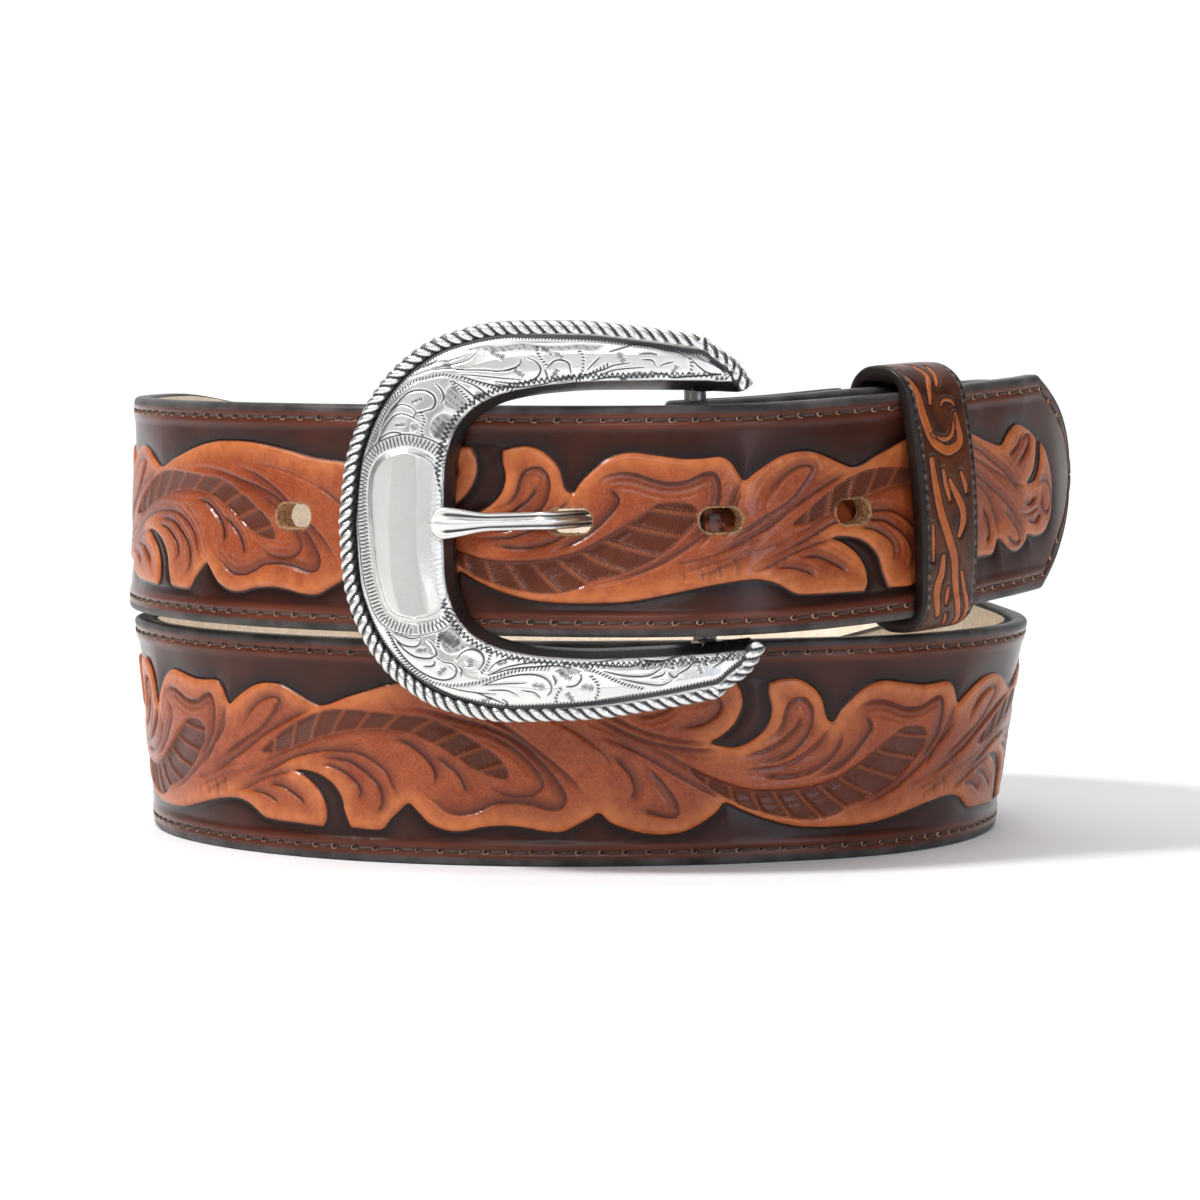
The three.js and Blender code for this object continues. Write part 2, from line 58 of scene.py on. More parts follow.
# Lengths of the belt, in millimetres
STRAP_WIDTH = 38.1
FACE_THICKNESS = 2.8
LINING_THICKNESS = 1.0
BOND_GAP = 0.3
TIP_LENGTH = 17.0
TIP_END_HALF_WIDTH = 3.0
HOLE_LENGTH = 7.7
HOLE_HEIGHT = 4.4
HOLE_PITCH = 25.4
TIP_TO_LAST_HOLE = 74.0
COIL_HALF_WIDTH = 76.0
COIL_HALF_DEPTH = 67.0
COIL_SKEW = np.radians(-12.8)
TURN_GAP = 1.5
LAYER_GAP = 0.5
BAR_TURN = 15.0
BAR_RADIUS = 1.9
BAR_CLEARANCE = 0.2
BAR_TO_TONGUE_HOLE = 21.5
FRAME_REACH = 57.8
FRAME_TIP_REACH = 7.5
FRAME_HALF_HEIGHT = 33.0
FRAME_THICKNESS = 5.4
FRAME_CLEARANCE = 0.8
HEEL_WIDTH = 17.4
HEEL_BEVEL = 0.9
WINDOW_CLEARANCE = 1.35
WINDOW_BEVEL = 1.6
ROPE_RADIUS = 1.35
ROPE_SEAT = 2.3
POST_WIDTH = 4.0
POST_HEIGHT = 3.8
TONGUE_THICKNESS = 1.7
TONGUE_WIDTH = 3.0
TONGUE_TIP_WIDTH = 5.2
TONGUE_LOOP_WIDTH = 4.6
TONGUE_BULB_LENGTH = 9.0
TAB_LENGTH = 32.0
LINING_START = 9.0
KEEPER_TURN = 47.4
KEEPER_WIDTH = 13.6
KEEPER_THICKNESS = 2.6
KEEPER_SLACK = 1.1
KEEPER_CLEARANCE = 0.5
KEEPER_CORNER = 1.9
KEEPER_BULGE = 1.3

STRAP_THICKNESS = FACE_THICKNESS + BOND_GAP + LINING_THICKNESS
HALF_WIDTH = STRAP_WIDTH / 2
STACK_PITCH = STRAP_WIDTH + TURN_GAP
LAYER_PITCH = STRAP_THICKNESS + LAYER_GAP
FOLD_RADIUS = FACE_THICKNESS + BAR_CLEARANCE + BAR_RADIUS
WINDOW_HALF = HALF_WIDTH + WINDOW_CLEARANCE
FULL_TURNS = 720.0
# The coil's own middle stands over the origin by this move
SETTLE = np.array([-4.44978, 3.96719, 0.0])

# The strap's route: turn in degrees, lift, layer and flare, as in the part
ROUTE = np.array([
    (15, 1.02, 1.1, -0.08), (27, 1.04, 0.8, -0.08), (40, 1.065, 0.45, -0.07), (60, 1.085, 0.15, -0.03),
    (76, 1.085, 0, 0), (94, 1.05, 0, 0), (120, 0.88, 0, 0), (180, 0.42, 0, 0), (225, 0.09, 0, 0),
    (250, 0, 0, 0), (275, 0, 0.6, 0.09), (320, 0, 0.25, 0.05), (350, 0, -0.4, 0.02), (373, 0, -0.62, 0.02),
    (385, 0, -0.55, 0.03), (405, 0, 0.15, 0.09), (435, 0, 0.65, 0.17), (455, 0.005, 0.9, 0.12),
    (475, 0.05, 1.12, 0.03), (500, 0.2, 1.08, 0), (540, 0.5, 1.05, 0), (585, 0.88, 1.05, 0),
    (612, 1, 1.05, -0.02), (660, 1, 1, -0.04), (690, 1, 1.05, -0.06), (704, 1, 1.1, -0.08),
    (717, 1, 1.5, -0.08), (735, 1.005, 2.1, -0.08), (760, 1.04, 1.48, -0.07), (780, 1.08, 1.18, -0.03),
    (792, 1.1, 1.7, 0), (803, 1.12, 2.6, 0), (815, 1.13, 3.7, 0),
])

# Half of the buckle's band from heel to arm: outer x and y, inner x and y, and rise, as in the part
BAND = np.array([
    (-1, 0, -1, 0, 1), (-0.985, 0.28, -0.995, 0.36, 1), (-0.935, 0.55, -0.965, 0.64, 0.98),
    (-0.835, 0.79, -0.89, 0.84, 0.96), (-0.7, 0.94, -0.765, 0.96, 0.94), (-0.53, 1, -0.6, 1.015, 0.92),
    (-0.35, 0.995, -0.42, 1.035, 0.9), (-0.16, 0.955, -0.2, 1.03, 0.86), (0.1, 0.88, 0.05, 1.015, 0.8),
    (0.65, 0.78, 0.6, 1.0, 0.7), (1, 0.655, 0.95, 0.99, 0.6),
])


def smoothstep(x, low, high):
    t = np.clip((np.asarray(x, float) - low) / (high - low), 0, 1)
    return t * t * (3 - 2 * t)


def mix(a, b, share):
    return a + (b - a) * share


def steady_curve(x, knots, values):
    """Smooth interpolation that never passes beyond the values of its knots."""
    x = np.clip(np.asarray(x, float), knots[0], knots[-1])
    rate = np.diff(values) / np.diff(knots)
    slope = np.empty(len(knots))
    slope[0], slope[-1] = rate[0], rate[-1]
    before, after = rate[:-1], rate[1:]
    together = before * after > 0
    safe = np.where(together, before + after, 1)
    slope[1:-1] = np.where(together, 2 * before * after / safe, 0)
    i = np.clip(np.searchsorted(knots, x, side="right") - 1, 0, len(knots) - 2)
    span = knots[i + 1] - knots[i]
    t = (x - knots[i]) / span
    return (
        values[i] * (2 * t**3 - 3 * t**2 + 1)
        + span * slope[i] * (t**3 - 2 * t**2 + t)
        + values[i + 1] * (3 * t**2 - 2 * t**3)
        + span * slope[i + 1] * (t**3 - t**2)
    )


def route_at(turn, column):
    return steady_curve(turn, ROUTE[:, 0], ROUTE[:, column])


def unit(v):
    return v / np.linalg.norm(v, axis=-1, keepdims=True)


def coil_point(turn, offset):
    """The coil's outline in plan at a turn, moved out by an offset."""
    t = np.radians(turn) - COIL_SKEW
    x, y = COIL_HALF_WIDTH * np.sin(t), -COIL_HALF_DEPTH * np.cos(t)
    nx, ny = np.sin(t) / COIL_HALF_WIDTH, -np.cos(t) / COIL_HALF_DEPTH
    length = np.hypot(nx, ny)
    x, y = x + offset * nx / length, y + offset * ny / length
    c, s = np.cos(COIL_SKEW), np.sin(COIL_SKEW)
    return np.stack([x * c - y * s, x * s + y * c], -1)


def grain_point(turn):
    plan = coil_point(turn, route_at(turn, 2) * LAYER_PITCH)
    return np.concatenate([plan, (route_at(turn, 1) * STACK_PITCH + HALF_WIDTH)[..., None]], -1)


def strand(turn):
    """Where the strap is at a turn: the point on its grain, its directions and its lean for each mm up."""
    turn = np.asarray(turn, float)
    along = unit(grain_point(turn + 0.5) - grain_point(turn - 0.5))
    out = unit(np.stack([along[..., 1], -along[..., 0], 0 * along[..., 0]], -1))
    across = np.cross(out, along)
    return {
        "origin": grain_point(turn), "along": along, "out": out, "across": across,
        "lean": out * route_at(turn, 3)[..., None],
    }


def place(where, depth, height):
    """A point at a depth below the grain and a height from the strap's middle line."""
    depth, height = np.asarray(depth, float)[..., None], np.asarray(height, float)[..., None]
    return where["origin"] - where["out"] * depth + (where["across"] + where["lean"]) * height


def running_length(points):
    return np.concatenate([[0], np.cumsum(np.linalg.norm(np.diff(points, axis=0), axis=1))])


TURNS = np.arange(BAR_TURN, FULL_TURNS + 151)
ARCS = running_length(grain_point(TURNS))
OUTLINE_TURNS = np.arange(-70.0, 71)
OUTLINE_ARCS = running_length(coil_point(OUTLINE_TURNS, 0.0))


def arc_at(turn):
    return np.interp(turn, TURNS, ARCS)


def turn_at(arc):
    return np.interp(arc, ARCS, TURNS)


def turn_beside_bar(x):
    bar_arc = steady_curve(BAR_TURN, OUTLINE_TURNS, OUTLINE_ARCS)
    return steady_curve(bar_arc + np.asarray(x, float), OUTLINE_ARCS, OUTLINE_TURNS)


TONGUE_HOLE_ARC = float(arc_at(FULL_TURNS + turn_beside_bar(-BAR_TO_TONGUE_HOLE)))
END_ARC = TONGUE_HOLE_ARC + 2 * HOLE_PITCH + TIP_TO_LAST_HOLE
HOLE_ARCS = [TONGUE_HOLE_ARC + k * HOLE_PITCH for k in (-2, -1, 0, 1, 2)]
BAR_FRAME = strand(BAR_TURN)
BAR_CENTRE = place(BAR_FRAME, FOLD_RADIUS, 0.0)
LEAN_PER_MM = float(route_at(BAR_TURN, 3))
ROLL = float(np.arcsin(BAR_FRAME["along"][2]))


def half_width_at(arc):
    left = np.clip((END_ARC - np.asarray(arc, float)) / TIP_LENGTH, 0, 1)
    return mix(TIP_END_HALF_WIDTH, HALF_WIDTH, left**0.6)


def on_buckle(x, y, offset):
    """A point of the buckle: x along the belt from the bar, y up from its middle, and an offset outwards."""
    x, y, offset = np.broadcast_arrays(*(np.asarray(v, float) for v in (x, y, offset)))
    arc = x * np.cos(ROLL) - y * np.sin(ROLL)
    height = x * np.sin(ROLL) + y * np.cos(ROLL)
    plan = coil_point(turn_beside_bar(arc), offset + LEAN_PER_MM * height)
    return np.concatenate([plan, (BAR_CENTRE[2] + height)[..., None]], -1)


def billet_offset(x):
    return route_at(turn_beside_bar(x) + FULL_TURNS, 2) * LAYER_PITCH


HEEL_INNER_EDGE = HEEL_WIDTH - FRAME_REACH
FRAME_BACK = float(billet_offset(HEEL_INNER_EDGE - HEEL_WIDTH / 4)) + FRAME_CLEARANCE
BAR_OFFSET = float(route_at(BAR_TURN, 2)) * LAYER_PITCH - FOLD_RADIUS


# The tooled scroll, charted over one repeat along the strap: distance along it and height from its middle.
# Lower and upper edge of the raised leaves
SCROLL_START = 371.6
SCROLL_LENGTH = 139.7
LEAF_EDGE_BELOW = [
    (371.6, -9.9), (374.9, -10.3), (377, -11.2), (379.1, -12.5), (381.2, -12.95), (386.3, -13.15),
    (392.3, -13.4), (398.3, -13.3), (403.9, -13.4), (405.8, -11.5), (407.5, -10), (409.2, -8.7),
    (410.9, -10.2), (413, -12.1), (416, -13.15), (418.9, -13.15), (422.3, -12.4), (426.1, -12.1),
    (429.5, -12.4), (432.9, -13.0), (435.9, -13.0), (438.4, -11.8), (440.5, -10.7), (442, -9.9),
    (443.9, -11.5), (446.5, -12.6), (449.4, -13.4), (452.8, -13.7), (456.2, -13.3), (459.1, -12.1),
    (462, -10.2), (463.7, -8.5), (467.1, -10), (471.3, -11.6), (475.5, -12.75), (479.7, -13.3),
    (486.1, -13.4), (492.4, -13.05), (498.7, -11.9), (505, -10.65), (511.3, -9.9),
]
LEAF_EDGE_ABOVE = [
    (371.6, 6.4), (373.6, 7.6), (376.6, 9.3), (379.5, 10.4), (382.9, 10.65), (385.5, 10.15), (388, 9.1),
    (390.5, 7.95), (392.5, 7.3), (394.8, 7.7), (397.3, 8.7), (401.1, 9.9), (405.4, 11.2), (410, 12.1),
    (415, 12.4), (421, 12.2), (428, 11.2), (434.5, 9.9), (442, 9.2), (446, 9.6), (450, 10.4), (455, 10.9),
    (460.4, 11.3), (463.7, 12.1), (467, 11.9), (471, 11.6), (473, 12.1), (475.5, 12.3), (477.6, 11.7),
    (479.7, 10.2), (481, 8.3), (481.6, 6), (482.3, 4.9), (483.3, 4.7), (484.4, 6.4), (486.5, 8.5),
    (489, 10.4), (492.4, 11.3), (496.6, 10.8), (500.8, 10.2), (504.2, 10.2), (507.5, 10.4),
    (509.2, 9.4), (510.3, 7.7), (511.3, 6.4),
]
# Dark hollows between two lobes
LEAF_HOLLOWS = [
    [(392.8, -14.2), (393.4, -12), (393.3, -9.8), (392.2, -7.6), (390.5, -5.95), (388.4, -4.7), (386.8, -4.1),
     (388.9, -3.9), (392.2, -4.5), (394.8, -5.95), (396.5, -8.1), (397.1, -10.6), (398, -12.9),
         (398.2, -14.2)],
    [(465.4, 12.9), (466.3, 10.2), (466.5, 8.1), (465.8, 6), (464.6, 4.3), (462.5, 2.6), (461, 1.7),
     (464.6, 0.85), (467.1, 1.36), (469.6, 2.8), (471.3, 4.7), (471.9, 7.3), (471.3, 9.8), (470.7, 12.9)],
]
# Dark ribbed veins: their outline, their middle line, and the slant of their panels in degrees
VEINS = [
    {
        "outline": [(379.5, -1.3), (382.9, 1.25), (386.3, 3.4), (390.5, 5.5), (393.9, 6.55), (397.3, 6.97),
                    (401.6, 6.8), (407.5, 6.3), (412.6, 5.9), (417.2, 4.2), (421.1, 2.1), (424.4, 0),
                    (426.3, -2.1), (426.6, -4.0), (424.4, -4.0), (421.5, -3.0), (418.5, -1.3), (415.1, 0.8),
                    (410.9, 2.7), (406.6, 3.6), (402.4, 3.7), (398.2, 3.4), (393.9, 2.3), (390.5, 1.25),
                    (386.3, -0.2), (382.9, -1.3)],
        "middle": [(378.5, -1.8), (384.6, 1.3), (392.2, 4.2), (400, 5.3), (409, 4.4), (416, 1.9),
        (421.5, -1.0),
                   (427, -4.6)],
        "slant": 50,
    },
    {
        "outline": [(457.5, -2.6), (460.8, -4.3), (465.4, -6.1), (469.6, -6.95), (474.7, -7.0), (479.7, -6.5),
                    (484, -5.3), (487.3, -3.6), (490.7, -1.5), (493.6, 0.6), (496.6, 2.8), (499.1, 3.2),
                    (502.1, 2.9), (503.5, 1.4), (502.9, -0.3), (500.8, -2.4), (497.9, -5), (494.5, -7.1),
                    (490.3, -8.75), (487, -9.6), (484, -11.2), (479.7, -12), (475.5, -11.6), (471.3, -10.7),
                    (467.1, -9.4), (463.7, -7.7), (460.2, -5.4)],
        "middle": [(456.5, -2.2), (463, -6.3), (470, -9), (478, -9.6), (486, -8), (493, -4.2), (498.5, 0.0),
                   (503, 4.2)],
        "slant": -50,
    },
]
# Cross-ribbed stems: the outline of the ladder and its middle line
LADDERS = [
    {
        "outline": [(499.5, -9.9), (505, -9.9), (511.2, -9.3), (513.6, -8.6), (513.3, -4.9), (509.2, -6.1),
                    (505, -7.3), (500.5, -8.6)],
        "middle": [(498, -9.6), (505, -8.6), (511, -7.3), (516, -6.0)],
    },
    {
        "outline": [(420, 10.9), (425, 10.8), (430, 9.9), (433.6, 8.8), (433, 6.6), (428, 7.9), (423, 8.9),
                    (420, 9.3)],
        "middle": [(418, 10.4), (424, 9.8), (429, 8.8), (436, 6.8)],
    },
]
# Knife cuts: which side is pressed down (1 left of the way it runs, -1 right, 0 neither), how deep as a
# share, how wide the slope is in mm, and the way the cut runs
CUTS = [
    (-1, 1.0, 2.6, [(400, 6.7), (405.4, 7.6), (409.6, 7.6), (413.9, 6.97), (418.1, 5.9), (422.3, 4.85),
                    (426.1, 3.4), (429.5, 1.25), (432.9, -2.1), (435.3, -5.1), (436.3, -7.2), (435.7, -8.9),
                    (433.8, -9.25), (430.8, -8.5), (427.8, -8.1), (424.4, -8.4), (421.9, -9.55),
                    (419.4, -10.3), (416.4, -10.1), (413.9, -8.5), (411.7, -6.8), (410.9, -5.5)]),
    (1, 0.9, 2.0, [(441.8, -9.4), (440.6, -8.4), (439.3, -6.4), (437.2, -4.0), (434.6, -1.7), (430.8, 1.3),
                   (427, 4.2), (423, 6.4), (418, 8.2)]),
    (-1, 0.7, 1.6, [(372.7, -5.1), (377.8, -3.4), (382.1, -2.1), (386.3, -0.4), (393.9, 2.1), (400.3, 3.4),
                    (406.6, 3.4), (412, 2.2)]),
    (1, 0.9, 1.8, [(370.2, -8.5), (373.6, -7.2), (377.8, -5.7), (382.1, -4.0), (386.3, -2.1), (389.7, -1.1),
                   (393.1, -0.44), (396.9, -0.2), (400.3, -0.65), (403.3, -2.1), (405.4, -4.0),
                   (406.6, -6.4), (407.6, -7.9), (409, -8.6)]),
    (1, 1.0, 1.7, [(390.5, -2.1), (394.8, -1.7), (398.2, -2.1), (401.1, -3.6), (403.3, -5.5), (404.3, -7.6),
                   (403.9, -9.8), (402.4, -10.8)]),
    (1, 1.0, 1.4, [(391.4, -3.0), (394.4, -3.0), (397.3, -4.0), (399.4, -5.5), (400.3, -7.2), (399.4, -8.7)]),
    (1, 1.1, 1.9, [(405, 2.3), (408.8, 1.5), (411.7, -0.4), (413.6, -2.6), (413.9, -4.7), (413.2, -5.1)]),
    (1, 1.0, 1.8, [(413, 0.4), (415.5, -1.7), (417.7, -3.4), (418.9, -5.5), (419.4, -7.2)]),
    (1, 0.9, 1.6, [(420.2, -2.8), (422.3, -4.7), (425.3, -6.6), (428.3, -7.2), (431.2, -6.6), (432.5, -4.9),
                   (430.8, -2.1), (428.7, 0), (426.1, 1.9), (422, 4.0)]),
    (1, 0.9, 1.6, [(375.3, -8.3), (379.1, -8.5), (381.6, -9.3), (383.3, -10.2)]),
    (1, 1.0, 1.6, [(379.5, -6.8), (383.8, -7.0), (386.3, -8.1), (388.4, -9.3), (389.3, -10.2)]),
    (1, 0.8, 1.5, [(370.5, -9.2), (374.9, -8.1), (378.7, -6.4), (382.9, -5.1), (387.2, -4.2)]),
    (-1, 0.9, 1.8, [(363.4, -6.0), (367.2, -4.0), (371.9, -1.3), (374.9, 0.4), (379.1, 2.5), (381.6, 4.6),
                    (383.8, 7.2), (384, 8.0), (382.1, 8.2), (379.1, 7.0), (376.6, 4.6), (375, 2)]),
    (1, 0.9, 1.8, [(362.6, -5.5), (366, -1.7), (368.9, 2.1), (370.6, 5.4), (371.4, 6.3)]),
    (1, 0.9, 1.8, [(360.9, -8.5), (365.1, -6.4), (369.4, -4.3), (374.9, -1.7), (380.4, 1.7), (386.3, 4.6),
                   (389.4, 5.9), (392.3, 7.2)]),
    (-1, 0.6, 1.4, [(360.9, -10.2), (366, -8.1), (370.2, -6.3), (375, -4.6), (381, -3.0)]),
    (-1, 0.9, 2.0, [(438, 7.8), (441.8, 6.2), (446, 3.9), (450.3, 2.2), (454.5, 1.15), (458.7, 0.7),
                    (462.9, 0.75)]),
    (-1, 0.8, 1.6, [(436, 9.3), (441, 7.9), (444.8, 6.2), (448.1, 4.5), (452.4, 3.0), (456.6, 2.2),
                    (461, 1.8)]),
    (-1, 0.9, 2.2, [(441, 6.0), (447.3, 3.0), (452.4, 0.5), (456.6, -2.0), (460.8, -4.1), (465.4, -5.8),
                    (469.6, -6.65), (474.7, -6.7), (479.7, -6.2), (484, -5.0), (487.3, -3.3),
                    (490.7, -1.2), (493.6, 0.9), (496.6, 3.0)]),
    (-1, 1.0, 1.5, [(465.4, -0.75), (468.8, -0.3), (472.2, 0.9), (474.7, 2.6), (476.4, 4.3), (477.6, 6.4)]),
    (1, 1.0, 1.6, [(464.6, -2.0), (468.8, -2.2), (473.8, -1.2), (477.2, 0.9), (478.9, 3.5), (479.3, 5.6),
                   (479.1, 7.3), (478.1, 8.5), (476.8, 8.9), (475.1, 8.3), (474.3, 6.8), (473.8, 4.7),
                   (472.6, 3.0), (470.5, 1.8)]),
    (-1, 0.9, 1.7, [(465, -2.4), (469.6, -2.9), (473.8, -2.4), (477.2, -1.0), (479.9, 0.9), (481.8, 3.0),
                    (483.1, 4.5)]),
    (1, 1.0, 1.5, [(466.7, -3.1), (471.3, -4.3), (475.5, -4.5), (479.7, -3.5), (482.7, -1.6), (484.4, 0.5),
                   (484.9, 2.2), (484, 3.4)]),
    (1, 1.1, 1.9, [(478.9, -4.8), (483.1, -3.7), (486.5, -1.6), (489, 0.9), (490.5, 3.0), (490.3, 4.3),
                   (488.6, 5.8)]),
    (-1, 1.0, 2.6, [(487.0, 1.8), (486.4, 4.3), (487.1, 6), (488.2, 7.3), (490.7, 8), (493.2, 7.8),
                    (496.2, 6.8), (498.7, 6.3), (501.6, 6.6), (504.2, 7.7), (505.9, 7.9), (506.9, 6.8),
                    (507.1, 4.7), (506.3, 1.6), (504, -1.3), (500.5, -4.2)]),
    (1, 0.9, 2.0, [(485, -10.9), (488.2, -10.2), (492.4, -9.0), (496.6, -7.3), (500.8, -4.9), (505, -1.9),
                   (508.4, 0.9), (510.1, 3.0), (510.9, 5.9)]),
    (0, 0.7, 1.0, [(499.2, 2.9), (502.5, 2.6), (503.7, 1.2), (502.9, -0.3), (500.8, -2.4), (497.9, -5),
                   (494.5, -7.1), (490.3, -8.75), (486, -9.8)]),
    (1, 1.0, 1.8, [(443.1, 0.9), (445.2, -1.2), (447.3, -3.7), (447.9, -6.2), (446.9, -8.1)]),
    (-1, 1.0, 1.8, [(447.3, -0.3), (450.3, -2.4), (452.8, -5), (454.9, -7.9), (455.5, -10), (454.5, -10.8),
                    (451.1, -10.2), (448.1, -9.2)]),
    (1, 0.9, 1.8, [(439.5, 4.2), (441.8, 3.0), (445.2, 1.8), (450.3, -0.75), (455.3, -3.7), (459.9, -6.2),
                   (463.5, -8.3)]),
    (-1, 0.8, 1.5, [(447.3, 6.9), (450.3, 6.6), (453.2, 7.5), (454.7, 9.0)]),
    (1, 0.9, 1.6, [(452.8, 5.6), (456.2, 4.5), (459.5, 4.9), (462, 6.4), (462.9, 8.1), (462, 9.4),
                   (459.5, 9.7), (457, 9.2)]),
    (1, 0.6, 1.2, [(499.5, -8.9), (505, -7.2), (509.2, -6.0), (513.4, -4.6)]),
    (-1, 0.6, 1.4, [(497, -6.9), (502.5, -6.4), (509.2, -4.5), (514, -2.9)]),
    (0, 0.6, 1.0, [(423.5, 5.4), (427.8, 2.9), (431.6, -0.3), (434.4, -3.4)]),
    (0, 0.5, 1.0, [(444.5, 4.4), (450, 1.6), (455, -1.0), (459.5, -3.0)]),
    (1, 0.7, 1.3, [(433.5, 6.2), (438.5, 3.4), (442.5, 0.2), (444.2, -2.6)]),
    (0, 0.5, 1.0, [(419, 8.9), (424.5, 8.4), (430, 7.2), (436, 5.0)]),
]
# Where the scroll's repeat falls on the strap: distance along the strap, and along the chart
SCROLL_FIT = np.array([
    (0.0, -37.0), (371.6, 371.6), (511.3, 511.3), (824.5, 811.6), (842.5, 828.3), (876.0, 861.4),
        (903.0, 890.3),
    (915.8, 902.7), (945.0, 930.8), (967.0, 951.9), (1100.0, 1085.0),
])

# The spray on the belt's point, which ends the scroll
POINT_START = 986.0
POINT_SPRAY = [(984, -12.6), (984, 12.2), (990, 12), (997.9, 10.6), (1003.4, 8.8), (1008.1, 7.65),
    (1010.4, 9.4),
               (1013.3, 10.9), (1017.4, 10), (1020.4, 8.5), (1023.3, 7.1), (1025.6, 5.0), (1028, 0.9),
               (1028.6, -3.2), (1027.4, -6.7), (1024.5, -9), (1020.4, -9.3), (1017.2, -8.7), (1016.3, -9.9),
               (1013.3, -11.1), (1010.4, -10.8), (1007.5, -9), (1005.7, -8.4), (1004.6, -9.9),
               (1003.4, -10.95), (998.7, -10.8), (992, -11.4)]
POINT_HOLLOWS = [
    [(1021.3, 11), (1021, 5.6), (1019.8, 2.3), (1017.2, 0.3), (1020.9, 0.5), (1023.0, 2.9), (1023.4, 5.6),
     (1022.9, 8.6)],
]
POINT_CUTS = [
    (1, 0.9, 2.0, [(988, 10.0), (997.9, 8.3), (1004.6, 5.2), (1010.4, 1.9), (1014.5, -2)]),
    (-1, 0.7, 1.6, [(988, 9), (998, 6.6), (1006, 3.4), (1013, 0.7), (1017.4, 0.2)]),
    (1, 0.9, 2.0, [(988, 6.2), (997.9, 3.8), (1003.4, 0.9), (1009.3, -2.6), (1013.3, -6.1), (1016.6, -8.9)]),
    (1, 0.9, 2.2, [(988, 4), (997.9, 2.1), (1001.7, 0.0), (1004, -3.2), (1005.4, -6.7), (1005.6, -8.5)]),
    (-1, 1.0, 1.8, [(1000, -1.4), (1002.4, -4.4), (1003.2, -7.4), (1001.4, -9)]),
    (1, 1.0, 1.8, [(1006, -2.4), (1009.8, -4.9), (1012.6, -7.5), (1013.4, -9.4), (1011.4, -9.4),
                   (1008.8, -7.6)]),
    (-1, 1.0, 1.4, [(1009.6, 5.5), (1013.5, 7.4), (1015.4, 9.6)]),
    (1, 1.0, 1.7, [(1012, 3.4), (1015.8, 4.9), (1018.3, 6.9), (1018.6, 8.7), (1016.4, 8.8), (1014.9, 7.4)]),
    (1, 1.0, 1.6, [(1015.1, -2.6), (1018, -3.6), (1020.9, -2.5)]),
    (1, 1.0, 1.6, [(1016.3, -5.8), (1020.4, -7.1), (1023.1, -5.5)]),
    (1, 1.0, 1.8, [(1019.6, -0.7), (1023, 0.2), (1026, -0.6), (1026.9, -3.4), (1025.6, -5.4),
                   (1023.9, -4.3), (1023.3, -1.7)]),
    (0, 0.8, 1.2, [(1013.4, -4.4), (1017.2, -5.2), (1021.8, -4.4)]),
]

